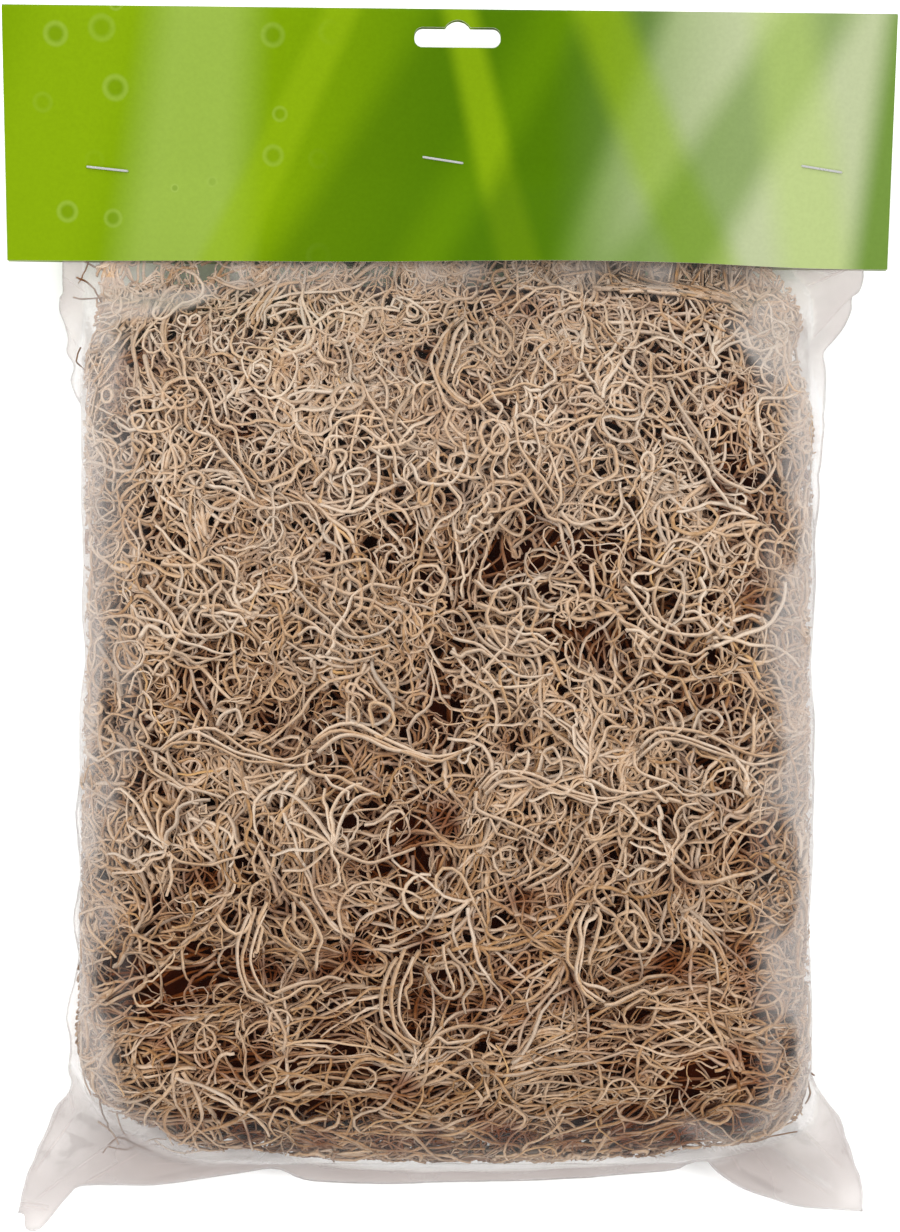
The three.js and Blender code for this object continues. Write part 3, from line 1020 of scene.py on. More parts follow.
    def figure(self, figure: Figure, steps: int) -> Strands:
        """Lays a figure's strands at each of its places.

        Args:
            figure: The figure.
            steps: Points along each strand.

        Returns:
            The strands.
        """
        share = np.linspace(0, 1, steps)
        curves = np.stack([Outline(curve).even(share) for curve in figure.curves])
        xy = np.concatenate([curves + place for place in figure.places])
        count = len(xy)
        lane = self.draw_lanes(count)
        for axis in (0, 1):
            xy[..., axis] += figure.jitter * Noise(61 + axis, 9.0).at(lane + 40 * share[None], lane)
        run = np.cumsum(np.linalg.norm(np.diff(xy, axis=1, prepend=xy[:, :1]), axis=2), axis=1)
        radius = self.draw(figure.radius, count)[:, None] * (1 - 0.25 * share**2)
        tone = self._tone(figure.tone, run, lane)
        depth = figure.depth + 0.9 * Noise(31, 9.0).at(run, lane) + self.rng.uniform(0, 1.2, (count, 1))
        warmth = np.broadcast_to(np.clip(self.rng.normal(0, 0.25, (count, 1)), -1, 1), tone.shape)
        radius = radius * (1 + 0.08 * Noise(33, 5.0).at(run, lane))
        return Strands(xy, 0 * tone, depth, radius, tone, warmth)

    def wall(self, growth: Growth, reach: float) -> Strands:
        """Grows strands that cross the pad's steep sides in all directions.

        Args:
            growth: How they grow.
            reach: How far they climb above and below the bag's seams.

        Returns:
            The strands, with their heights.
        """
        room, shape = self.room, (growth.count, growth.steps)

        def walked(span: Span, moves: Array) -> Array:
            """Sums of moves along each strand, from a drawn start."""
            return self.draw(span, growth.count)[:, None] + np.cumsum(moves, axis=1)

        step = self.draw(growth.length, growth.count)[:, None] / growth.steps
        turns = self.draw_either(growth.bend, growth.count)[:, None]
        turns = turns + self.rng.normal(0, growth.wander, shape)
        angle = walked((0, TAU), turns * step)
        along = walked((0, self.side_length), np.cos(angle) * step)
        climb = walked((-reach, reach), np.sin(angle) * step)
        climb = reach * (np.abs((climb / reach - 1) % 4 - 2) - 1)
        edge = room.form.pad.outline.even(np.clip(along / self.side_length, 0, 1) * self.side_share)
        ex, ey = edge[..., 0], edge[..., 1]
        ix, iy = room.unit_inward(ex, ey)
        height = room.form.seam_height(ey) + climb
        insets = np.arange(self.side_gap, 14, 0.3)
        deeper = (edge[..., None] + way[..., None] * insets for edge, way in ((ex, ix), (ey, iy)))
        bottom, top = room.heights(*deeper)
        fits = np.minimum(top - height[..., None], height[..., None] - bottom) > 1
        inset = np.where(fits.any(axis=-1), insets[np.argmax(fits, axis=-1)], insets[-1])
        lane = self.draw_lanes(growth.count)
        inset = inset + self.draw(growth.depth, growth.count)[:, None]
        inset = inset + growth.waves * Noise(31, 9.0).at(along, lane)
        x, y = ex + ix * inset, ey + iy * inset
        bottom, top = room.heights(x, y)
        height = np.clip(height, bottom + self.side_gap, top - self.side_gap)
        radius = self._thickness(growth.radius, growth.taper, along, lane)
        tone = self._tone(growth.tone, along, lane)
        warmth = np.broadcast_to(self.rng.normal(0, self.warmth_spread, (growth.count, 1)), shape)
        return Strands(np.stack([x, y], axis=-1), angle, 0 * tone, radius, tone, warmth, height=height)

    def points(self, strands: Strands) -> Array:
        """Routes of some strands under the film.

        Args:
            strands: The strands.

        Returns:
            Points as [strand, step, xyz].
        """
        x, y = strands.xy[..., 0], strands.xy[..., 1]
        if strands.height is not None:
            return np.stack([x, y, strands.height], axis=-1)
        bottom, top = self.room.heights(x, y)
        half = np.maximum((top - bottom) / 2 - strands.radius, self.room.least_half)
        rise = strands.sheet.value * (half - self.sinking(strands, half))
        return np.stack([x, y, (top + bottom) / 2 + rise], axis=-1)

    def sinking(self, strands: Strands, half: Array) -> Array:
        """How deep some strands lie under the film, with the tangle's own hollows.

        Args:
            strands: The strands.
            half: Half the room's height at each of their points.

        Returns:
            Depths as [strand, step].
        """
        x, y = strands.xy[..., 0], strands.xy[..., 1]
        mean, wide, fine = self.hill_heights
        hollows = mean + wide * self.hills[0].at(x, y) + fine * self.hills[1].at(x, y)
        hollows = hollows + self.room.sample(self.hollows, x, y)
        scale = self.back_hills
        if strands.sheet is Sheet.FRONT:
            scale = self.front_hills * mix(*self.front_swell, smoothstep(-y, 0, 100))
        depth = np.maximum(strands.depth + scale * np.maximum(hollows, 0), 0)
        return half * (1 - np.exp(-depth / half))


@dataclass(frozen=True)
class MossTangle:
    """The tangle: a core, coloured dark as painted shade, wrapped in strands, leaves, tufts and curls."""

    form: PackForm
    seed: int = 17
    core_depth: float = 10.5
    core_margin: float = 2.8
    core_points: tuple[int, int] = (110, 96)
    core_y: Span = (-153, 103)
    core_power: float = 0.5
    core_lumps: float = 1.5
    core_ends: float = 12
    stem_sides: int = 4
    strand_sides: int = 3
    node: str = "moss_tangle"
    slot: str = "moss"

    stems: Growth = Growth(
        count=112, steps=46, length=(80, 150), bend=(0, 0.03), wander=0.12, depth=(0.6, 5),
        radius=(0.5, 0.74), tone=(0.3, 0.76), follow=0.02,
    )
    leaf: Growth = Growth(
        count=0, steps=12, length=(10, 31), bend=(0, 0.1), wander=0.24, curl=(-0.06, 0.16),
        radius=(0.48, 0.78), taper=0.35, tone=(0.24, 0.78), follow=0.01,
    )
    tuft: Growth = Growth(
        count=30, steps=14, length=(20, 42), bend=(0.01, 0.05), wander=0.1, depth=(0, 2.5),
        radius=(0.46, 0.7), tone=(0.5, 0.95),
    )
    bundle: Growth = Growth(
        count=165, steps=15, length=(18, 46), bend=(0, 0.08), wander=0.12, depth=(0.2, 4.5), waves=0.5,
        radius=(0.5, 0.78), tone=(0.28, 0.82), follow=0.01,
    )
    curl: Growth = Growth(
        count=330, steps=20, length=(14, 38), bend=(0.02, 0.18), wander=0.34, curl=(-0.12, 0.1),
        depth=(0.2, 4), radius=(0.42, 0.66), tone=(0.32, 0.86),
    )
    hair: Growth = Growth(
        count=1700, steps=10, length=(6, 20), bend=(0, 0.2), wander=0.3, depth=(0.2, 5),
        radius=(0.2, 0.38), taper=0.4, tone=(0.3, 0.8),
    )
    filler: Growth = Growth(
        count=800, steps=13, length=(30, 60), bend=(0, 0.05), wander=0.08, depth=(4.5, 10.5),
        radius=(0.5, 0.85), taper=0.2, tone=(0.1, 0.6), follow=0.02,
    )
    rim: Growth = Growth(
        count=740, steps=11, length=(9, 26), bend=(0, 0.12), wander=0.22, depth=(0.2, 5.5), waves=1.2,
        radius=(0.42, 0.68), tone=(0.2, 0.85),
    )
    low_rim: Growth = replace(rim, count=260, depth=(0.2, 4), tone=(-0.1, 0.45))
    wall: Growth = Growth(
        count=1100, steps=12, length=(14, 34), bend=(0, 0.14), wander=0.2, depth=(0, 3),
        radius=(0.46, 0.74), taper=0, tone=(0.25, 0.85),
    )
    wall_reach: float = 17
    fringe: Growth = Growth(
        count=420, steps=8, length=(4, 12), bend=(0, 0.2), wander=0.2, depth=(0.3, 2.5),
        radius=(0.16, 0.3), taper=0.4, tone=(0.1, 0.7), spill=1.2,
    )
    back: Growth = Growth(
        count=760, steps=13, length=(26, 56), bend=(0, 0.09), wander=0.12, depth=(0.1, 4),
        radius=(0.5, 0.78), tone=(0.35, 0.9), follow=0.02,
    )

    def build(self, room: Room, finish: Material, core_finish: Material) -> None:
        """Makes the core and the strands.

        Args:
            room: The room for moss inside the bag.
            finish: The strands' material.
            core_finish: The core's material.
        """
        grower = Grower(room, self.seed)
        stems = grower.grow(self.stems, *grower.scatter(self.stems.count))
        leaves = grower.leaves(stems, self.leaf, 3, (0.4, 1.4))
        tufts = grower.tufts(self.tuft, 9, 0.8)
        bundles = grower.bundles(self.bundle, 6, 1.5)
        hairs = grower.grow(self.hair, *grower.scatter(self.hair.count, 1, 0.5))
        fringe = grower.grow(self.fringe, *grower.rim(self.fringe.count, 3.0))
        curls = grower.grow(self.curl, *grower.scatter(self.curl.count, 4, 0.6))
        filler = grower.grow(self.filler, *grower.scatter(self.filler.count))
        rim = grower.grow(self.rim, *grower.rim(self.rim.count))
        low_rim = grower.grow(self.low_rim, *grower.rim(self.low_rim.count), sheet=Sheet.BACK)
        back = grower.grow(self.back, *grower.scatter(self.back.count), sheet=Sheet.BACK)
        walls = grower.wall(self.wall, self.wall_reach)
        laid = [grower.figure(figure, 16) for figure in FIGURES]
        strays = [grower.figure(figure, 10) for figure in STRAYS]
        half = leaves.count // 2
        pieces = {
            "moss_stems": [stems, tufts, curls],
            "moss_bundles": [bundles, *laid],
            "moss_strays": strays,
            "moss_hairs": [hairs, fringe],
            "moss_leaves_left": [leaves.part(slice(half))],
            "moss_leaves_right": [leaves.part(slice(half, None))],
            "moss_filler": [filler],
            "moss_sides": [rim, low_rim],
            "moss_back": [back],
            "moss_walls": [walls],
        }
        for name, sets in pieces.items():
            sides = self.stem_sides if name == "moss_stems" else self.strand_sides
            self._piece(grower, name, sets, sides, finish)
        self._core(room, core_finish)

    def _piece(self, grower: Grower, name: str, sets: list[Strands], sides: int, finish: Material) -> None:
        """Makes one piece from sets of strands.

        Args:
            grower: What grew them.
            name: The piece's name.
            sets: The sets.
            sides: Corners of a strand's section.
            finish: Their material.
        """
        corners, polygons = [], []
        values: dict[str, list[Array]] = {"tone": [], "warmth": [], "deep": []}
        for strands in sets:
            rings = tube_rings(grower.points(strands), strands.radius, sides)
            polygons += tube_faces(*rings.shape[:3], sum(map(len, corners)))
            corners.append(rings.reshape(-1, 3))
            bottom, top = grower.room.heights(strands.xy[..., 0], strands.xy[..., 1])
            # How deep each strand lies; the finish turns it into painted shade.
            deep = grower.sinking(strands, np.maximum((top - bottom) / 2, grower.room.least_half))
            for label, numbers in zip(values, (strands.tone, strands.warmth, deep / self.core_depth)):
                values[label].append(np.repeat(numbers.ravel(), sides))
        joined = {label: np.concatenate(parts) for label, parts in values.items()}
        piece = write_mesh(name, self.form.place(np.concatenate(corners)), polygons, joined)
        finish_piece(piece, self.slot, self.node, finish)

    def _core(self, room: Room, finish: Material) -> None:
        """Makes the dense middle that closes the view between the strands; its dark colour is painted
        shade.

        Args:
            room: The room for moss inside the bag.
            finish: The core's material.
        """
        rows, around = self.core_points
        turn = np.linspace(0, TAU, around, endpoint=False)
        y = np.linspace(*self.core_y, rows)
        across = np.linspace(-112, 112, 449)
        covered = room.within(*np.meshgrid(across, y)) > self.core_margin
        left = across[np.argmax(covered, axis=1)][:, None]
        right = across[::-1][np.argmax(covered[:, ::-1], axis=1)][:, None]
        waves = np.cos(turn), np.sin(turn)
        spread, rise = (np.sign(wave) * np.abs(wave) ** self.core_power for wave in waves)
        x = (right + left) / 2 + (right - left) / 2 * spread
        yy = np.broadcast_to(y[:, None], x.shape)
        bottom, top = room.heights(x, yy)
        sunk = np.minimum(self.core_depth, 6 + 0.4 * room.within(x, yy))
        reach = np.maximum((top - bottom) / 2 - sunk, 0.3) + self.core_lumps * Noise(41, 14.0).at(x, yy)
        ends = end_round(np.minimum(y - y[0], y[-1] - y) + 0.01, self.core_ends)[:, None]
        z = (top + bottom) / 2 + rise * np.maximum(reach, 0.2) * ends
        number = np.arange(rows * around).reshape(rows, around)
        faces = [strip_faces(number, np.roll(number, -1, axis=1)), np.stack([number[0], number[-1][::-1]])]
        points = np.stack([x, yy, z], axis=-1).reshape(-1, 3)
        finish_piece(write_mesh("moss_core", self.form.place(points), faces), self.slot, self.node, finish)


# ---- Film bag ----


@dataclass(frozen=True)
class Crease:
    """A ridge or a valley that runs over the film."""

    start: Span
    end: Span
    height: float
    width: float

    def at(self, x: Array, y: Array) -> Array:
        """The crease's height at some places.

        Args:
            x: Across the pack.
            y: Along the pack.

        Returns:
            One height for each place.
        """
        (ax, ay), (bx, by) = self.start, self.end
        length = math.hypot(bx - ax, by - ay)
        ux, uy = (bx - ax) / length, (by - ay) / length
        along = np.clip(((x - ax) * ux + (y - ay) * uy) / length, 0, 1)
        off = np.hypot(x - ax - along * length * ux, y - ay - along * length * uy)
        swell = np.sin(math.pi * np.clip(along, 0.02, 0.98)) ** 0.6
        return self.height * swell * np.clip(1 - off / self.width, 0, 1) ** 1.4


@dataclass(frozen=True)
class ReflectionPatch:
    """A milky patch painted on the film: a painted reflection off a fold or slope of the film."""

    middle: Span
    reach: Span
    turn: float
    strength: float

    def at(self, x: Array, y: Array) -> Array:
        """The patch's strength at some places.

        Args:
            x: Across the pack.
            y: Along the pack.

        Returns:
            One strength for each place.
        """
        cos, sin = math.cos(self.turn), math.sin(self.turn)
        dx, dy = x - self.middle[0], y - self.middle[1]
        u, v = (dx * cos + dy * sin) / self.reach[0], (dy * cos - dx * sin) / self.reach[1]
        ragged = 1 + 0.25 * Noise(58, 6.0).at(x, y)
        return self.strength * (1 - smoothstep(np.hypot(u, v) * ragged, 0.45, 1.1))


# Both ends, height and width of each crease; middle, reach, turn and strength of each painted reflection
# patch.
CREASES = tuple(Crease((ax, ay), (bx, by), *rest) for ax, ay, bx, by, *rest in (
    (-108, -136, -128, -176, 1.5, 7), (-98, -146, -126, -180, -0.9, 6), (-84, -152, -112, -170, 1.1, 7),
    (-60, -158, -100, -168, 1, 5), (104, -138, 122, -174, 1.6, 8), (92, -150, 118, -176, -1.1, 6), (78,
    -156, 108, -174, 1.8, 6), (120, 104, 76, 92, 2, 7), (118, 100, 96, 66, -1.8, 8), (104, 102, 60, 100,
    1.4, 5), (-112, 100, -70, 92, 1.6, 7), (-110, 92, -92, 62, -1.2, 8),
))
# Painted reflections of the film's folds and slopes, as whitish patches.
PAINTED_REFLECTIONS = tuple(ReflectionPatch((x, y), (across, along), *rest) for x, y, across, along, *rest in (
    (-90, 96.5, 24, 5, 0.2, 1), (-103, 90, 6, 9, 0, 0.7), (93, 93, 6, 6, 0.5, 0.9), (103, 81, 6, 13, -0.5,
    1), (88, 84, 5, 9, 0.6, 0.5), (101, 50, 7, 24, 0, 0.8), (103, -36, 7, 34, 0, 0.9), (101, -98, 6, 20, 0,
    0.5), (-104, 20, 6, 40, 0, 0.4), (-103, -116, 6, 14, 0.2, 0.5), (78, -149, 16, 4, -0.6, 0.5),
))


@dataclass(frozen=True)
class FilmBag:
    """The clear bag: two sheets welded along their sides and bottom."""

    form: PackForm
    columns: int = 130
    even_columns: float = 0.45
    rows: int = 160
    row_places: tuple[tuple[float, ...], ...] = ((0, 0.32, 0.66, 0.92, 1), (0, 0.18, 0.71, 0.86, 1))
    node: str = "film_bag"
    slot: str = "film"
    creases: tuple[Crease, ...] = CREASES
    patches: tuple[ReflectionPatch, ...] = PAINTED_REFLECTIONS

    def build(self, room: Room, finish: Material) -> None:
        """Makes the bag.

        Args:
            room: The room for moss inside the bag.
            finish: The film's material.
        """
        even = np.linspace(0, 1, self.columns + 1)
        xy = self._places(
            mix((1 - np.cos(math.pi * even)) / 2, even, self.even_columns),
            np.interp(np.linspace(0, 1, self.rows + 1), *self.row_places),
        )
        x, y = xy[..., 0], xy[..., 1]
        lift, loose = self._lift(x, y), self._loose(x, y)
        front = self.form.film_height(x, y, 1) + lift
        back = np.maximum(self.form.film_height(x, y, -1) + lift * smoothstep(loose, 0.3, 1), 0.15)
        edge = np.zeros(x.shape, bool)
        edge[0], edge[:, 0], edge[:, -1] = True, True, True
        seam = np.maximum(self.form.seam_height(y) + lift, 0.2)
        front = np.where(edge, seam, np.maximum(front, seam + 0.15))
        back = np.where(edge, seam, np.minimum(back, front - 0.3))
        number = np.arange(x.size).reshape(x.shape)
        under = np.where(edge, number, number + x.size)
        points = np.concatenate([np.stack([x, y, z], axis=-1).reshape(-1, 3) for z in (front, back)])
        inside = room.within(x, y)
        veil, steep = self._haze(x, y, inside), 1 - smoothstep(inside, -1, 5)
        free, wall = self._free(x, y, inside), smoothstep(inside, -5, -3.5)
        slanted = 0.6 * veil * steep + 0.7 * free * wall
        # These milky values are partly the film's own clouding and partly painted reflection.
        sheets = {
            "haze": (veil * (1 - 0.8 * steep), 0.15 * veil),
            "side": [self._side_haze(x, y, z, inside) + slanted for z in (front, back)],
            "free": [free * (1 - 0.8 * wall)] * 2,
        }
        quads = [self._quads(number), self._quads(under)[:, ::-1]]
        used, faces = np.unique(np.concatenate(quads), return_inverse=True)
        values = {label: np.ravel(both)[used] for label, both in sheets.items()}
        piece = write_mesh("film_bag_clear", self.form.place(points[used]), [faces.reshape(-1, 4)], values)
        finish_piece(piece, self.slot, self.node, finish)

    def _places(self, u: Array, v: Array) -> Array:
        """Places on the bag's outline.

        Args:
            u: Shares of the way across it.
            v: Shares of the way from its bottom edge to its mouth.

        Returns:
            (x, y) for each v and each u.
        """
        bag = self.form.bag
        left, right = self._side(bag.left, v)[:, None], self._side(bag.right, v)[:, None]
        chord = mix(left[0, 0], right[0, 0], u[:, None])
        drop = (bag.bottom.even(u) - chord)[None] * ((1 - v) ** 3)[:, None, None]
        places = left + (right - left) * u[None, :, None] + drop
        ragged = 0.35 * Noise(51, 5.0).at(places[..., 1], 40 * np.round(u)[None]) * np.abs(2 * u - 1) ** 24
        places[..., 0] += ragged * np.sign(u - 0.5)
        return places

    @staticmethod
    def _side(edge: Outline, v: Array) -> Array:
        """Points of a side edge whose heights are even steps of v."""
        x, y = edge.at(np.linspace(0, 1, 1200)).T
        level = mix(y[0], y[-1], v)
        return np.stack([np.interp(level, y, x), level], axis=1)

    def _loose(self, x: Array, y: Array) -> Array:
        """How far the film lies off the moss: 1 in the corners and along the hem, 0 on the pad."""
        ears = smoothstep(np.abs(x), 84, 104) * (1 - smoothstep(y, -140, -118))
        return np.clip(1 - smoothstep(y, -160, -140) + ears + smoothstep(y, 84, 100), 0, 1)

    def _lift(self, x: Array, y: Array) -> Array:
        """Height of the film's creases, ripples and dents.

        Args:
            x: Across the pack.
            y: Along the pack.

        Returns:
            The heights.
        """
        ripple = 0.5 * Noise(52, 11.0).at(x, y) + 0.3 * Noise(53, 5.0).at(x + y, y - x)
        drape = 0.35 * Noise(54, 8.0).at(x, y) + 0.5 * Noise(55, 27.0).at(x, y)
        held = 1 - smoothstep(y, self.form.bag.hem_y - 2, self.form.bag.hem_y + 6)
        folds = sum(crease.at(x, y) for crease in self.creases)
        return held * (mix(drape, ripple, self._loose(x, y)) + folds)

    @staticmethod
    def _uneven(x: Array, y: Array) -> Array:
        """How patchy the film's milkiness and painted reflection are near its sides; stronger on the right.
        """
        patchy = np.maximum(0.66 + 0.9 * Noise(57, 7.0).at(x, 0.6 * y), 0.12)
        return patchy * mix(1.3, 1.95, smoothstep(x, -50, 50))

    def _haze(self, x: Array, y: Array, inside: Array) -> Array:
        """How milky the film is made on the moss, partly by its own clouding and partly by painted
        reflection off its folds and slopes.

        Args:
            x: Across the pack.
            y: Along the pack.
            inside: How far they are inside the pad's outline.

        Returns:
            Values from 0, clear, to about 1.
        """
        veil = 0.5 + 0.5 * Noise(56, 24.0).at(x, y)
        patches = sum(patch.at(x, y) for patch in self.patches)
        corner = smoothstep(np.abs(x), 78, 98) * smoothstep(y, -158, -140)
        high = np.maximum(smoothstep(y, -140, -118), corner)
        shoulder = 0.62 * (1 - smoothstep(inside, 3, 22)) * high * self._uneven(x, y)
        return np.clip(0.05 * smoothstep(y, 10, 100) * veil + patches + shoulder, 0, 1.3)

    def _side_haze(self, x: Array, y: Array, z: Array, inside: Array) -> Array:
        """How milky the film's steep sides are made at a slant, from 0, clear, to about 2: partly their own
        clouding, partly painted reflection.
        """
        side = 1.1 * (1 - smoothstep(inside, -1, 9)) * smoothstep(inside, -5, -1)
        return side * smoothstep(y, -155, -125) * self._uneven(x + 0.5 * z, y)

    def _free(self, x: Array, y: Array, inside: Array) -> Array:
        """How loose the film is.

        Args:
            x: Across the pack.
            y: Along the pack.
            inside: How far they are inside the pad's outline.

        Returns:
            Values of about 1 away from the moss, 0 on it.
        """
        cloth = 1 + 0.1 * Noise(59, 15.0).at(x + 0.4 * y, y - 0.4 * x)
        low = smoothstep(-y, 120, 150) * (1 - smoothstep(np.abs(x), 85, 105))
        # Near the pad the loose film is made thinner, and so lighter, where the pad's shadow falls: painted
        # light.
        far = mix(0.84, 1, smoothstep(-inside, 3, 16))
        cloth = cloth * (far + 0.36 * low * smoothstep(-inside, -1, 1.5))
        held = smoothstep(y, -138, -122) * (1 - smoothstep(y, 70, 90))
        off_moss = 1 - smoothstep(inside, mix(-1.0, -0.8, low), mix(4.5, 1.6, low))
        return off_moss * cloth * (1 - 0.6 * held)

    @staticmethod
    def _quads(number: Array) -> Array:
        """Faces of a grid of vertex numbers."""
        corners = number[:-1, :-1], number[:-1, 1:], number[1:, 1:], number[1:, :-1]
        return np.stack(corners, axis=-1).reshape(-1, 4)


# ---- Header card and staples ----


@dataclass(frozen=True)
class SlotSizes:
    """The hanging slot in the header card: a rounded box with a bump on its upper side."""

    width: float = 25.4
    height: float = 5.7
    bump: float = 2.1
    bump_width: float = 7.4
    bump_power: float = 0.7
    bump_points: int = 13
    x: float = 2.2
    y: float = 174.5
    corner: float = 2.4
    corner_steps: int = 8

    def outline(self) -> Array:
        """The slot's outline, anticlockwise, round its own middle.

        Returns:
            (x, y) rows.
        """
        right, top = self.width / 2 - self.corner, self.height / 2 - self.corner

        def arc(cx: float, cy: float, start: float) -> list[Span]:
            """One round corner."""
            angles = (start + QUARTER * i / self.corner_steps for i in range(self.corner_steps + 1))
            return [(cx + self.corner * math.cos(a), cy + self.corner * math.sin(a)) for a in angles]

        rows = arc(right, -top, -QUARTER) + arc(right, top, 0)
        for share in np.linspace(1, -1, self.bump_points):
            rise = self.bump * math.cos(share * QUARTER) ** self.bump_power
            rows.append((share * self.bump_width / 2, self.height / 2 + rise))
        return np.array(rows + arc(-right, top, QUARTER) + arc(-right, -top, math.pi))


@dataclass(frozen=True)
class HeaderCard:
    """The printed card, folded over the bag's mouth and punched for hanging."""

    form: PackForm
    hang: SlotSizes = SlotSizes()
    columns: int = 72
    panel_rows: int = 22
    fold_steps: int = 10
    fold_reach: float = 6
    wave: float = 0.25
    punch_span: Span = (10, 60)
    node: str = "header_card"
    slot: str = "card"
    sharp: float = math.radians(40)
    level: float = 0.6

    def build(self, print_finish: Material, edge_finish: Material) -> None:
        """Makes the card.

        Args:
            print_finish: Material of the printed faces.
            edge_finish: Material of the cut edges.
        """
        piece = self._blank()
        self._punch(piece)
        piece.data.materials.append(print_finish)
        piece.data.materials.append(edge_finish)
        self._dress(piece)
        finish_piece(piece, self.slot, self.node)

    def _profile(self, depth: float) -> Array:
        """The profile of one face of the card, from its back edge over the fold to its front edge.

        Args:
            depth: The face's distance from the card's inner face.

        Returns:
            (y, offset) rows.
        """
        card = self.form.card
        half = card.inner_half_gap + depth
        top = card.fold_y - card.inner_half_gap - card.thickness
        panel = np.linspace(card.low_y, top, self.panel_rows)
        angle = np.linspace(0, math.pi, self.fold_steps + 1)[1:-1]
        fold = np.stack([top + half * np.sin(angle), -half * np.cos(angle)], axis=1)
        back, front = (np.stack([panel, np.full_like(panel, offset)], axis=1) for offset in (-half, half))
        return np.concatenate([back, fold, front[::-1]])

    def _skin(self, depth: float) -> Array:
        """Points of one face of the card.

        Args:
            depth: The face's distance from the card's inner face.

        Returns:
            Points as [column, profile step, xyz].
        """
        card, form = self.form.card, self.form
        x = np.linspace(-card.width / 2, card.width / 2, self.columns + 1)[:, None]
        y, offset = self._profile(depth).T[:, None]
        side = np.sign(offset)
        opened = np.where(side > 0, form.flare(x, 1), form.flare(x, -1)) * form.flare_share(y) * side
        cos, sin = math.cos(card.yaw), math.sin(card.yaw)
        px = x * cos - (y - card.fold_y) * sin
        py = x * sin + (y - card.fold_y) * cos + card.fold_y
        wave = self.wave * np.sin(0.021 * px + 0.8) * smoothstep(card.fold_y - y, 4, 40)
        return np.stack([px, py, form.card_height(py) + offset + opened + wave], axis=-1)

    def _blank(self) -> Object:
        """Makes the folded card before it is punched.

        Returns:
            The card.
        """
        outer, inner = self._skin(self.form.card.thickness), self._skin(0)
        number = np.arange(outer[..., 0].size).reshape(outer.shape[:2])
        under = number + number.size
        faces = [
            strip_faces(number[:-1].T, number[1:].T)[:, ::-1],
            strip_faces(under[:-1].T, under[1:].T),
            strip_faces(under[0], number[0]),
            strip_faces(number[-1], under[-1]),
            strip_faces(number[:, 0], under[:, 0]),
            strip_faces(under[:, -1], number[:, -1]),
        ]
        points = np.concatenate([outer.reshape(-1, 3), inner.reshape(-1, 3)])
        piece = write_mesh("header_card_printed", self.form.place(points), faces)
        mesh = bmesh.new()
        mesh.from_mesh(piece.data)
        bmesh.ops.recalc_face_normals(mesh, faces=mesh.faces)
        mesh.to_mesh(piece.data)
        mesh.free()
        return piece

    def _punch(self, piece: Object) -> None:
        """Cuts the hanging slot through both panels.

        Args:
            piece: The card.
        """
        cos, sin = math.cos(self.form.card.yaw), math.sin(self.form.card.yaw)
        xy = self.hang.outline() @ np.array([[cos, sin], [-sin, cos]]) + (self.hang.x, self.hang.y)
        low, high = (np.column_stack([xy, np.full(len(xy), z)]) for z in self.punch_span)
        number = np.arange(len(xy))
        after = np.roll(number, -1)
        sides = np.stack([number, after, after + len(xy), number + len(xy)], axis=1)
        caps = np.stack([number[::-1], number + len(xy)])
        cutter = write_mesh("slot_cutter", self.form.place(np.concatenate([low, high])), [sides, caps])
        cut = piece.modifiers.new("slot", "BOOLEAN")
        cut.object, cut.operation, cut.solver = cutter, "DIFFERENCE", "EXACT"
        shaped = bpy.data.meshes.new_from_object(piece.evaluated_get(bpy.context.evaluated_depsgraph_get()))
        piece.modifiers.clear()
        piece.data = shaped
        shaped.name = piece.name
        bpy.data.objects.remove(cutter)

    def _dress(self, piece: Object) -> None:
        """Gives the cut edges their own material and keeps them crisp.

        Args:
            piece: The card.
        """
        mesh = bmesh.new()
        mesh.from_mesh(piece.data)
        mesh.normal_update()
        fold = (self.form.card.fold_y - self.fold_reach) * MM
        for face in mesh.faces:
            face.smooth = True
            middle = face.calc_center_median()
            printed = abs(face.normal.z) > self.level or (middle.y > fold and not self._in_slot(middle))
            face.material_index = 0 if printed else 1
        for edge in mesh.edges:
            if len(edge.link_faces) == 2:
                edge.smooth = edge.calc_face_angle() < self.sharp
        mesh.to_mesh(piece.data)
        mesh.free()

    def _in_slot(self, point: Sequence[float]) -> bool:
        """Whether a point lies on the slot's wall."""
        x, y = (point[axis] / MM - self.form.origin[axis] for axis in (0, 1))
        return abs(x - self.hang.x) < self.hang.width / 2 + 0.3 and abs(y - self.hang.y) < self.hang.height


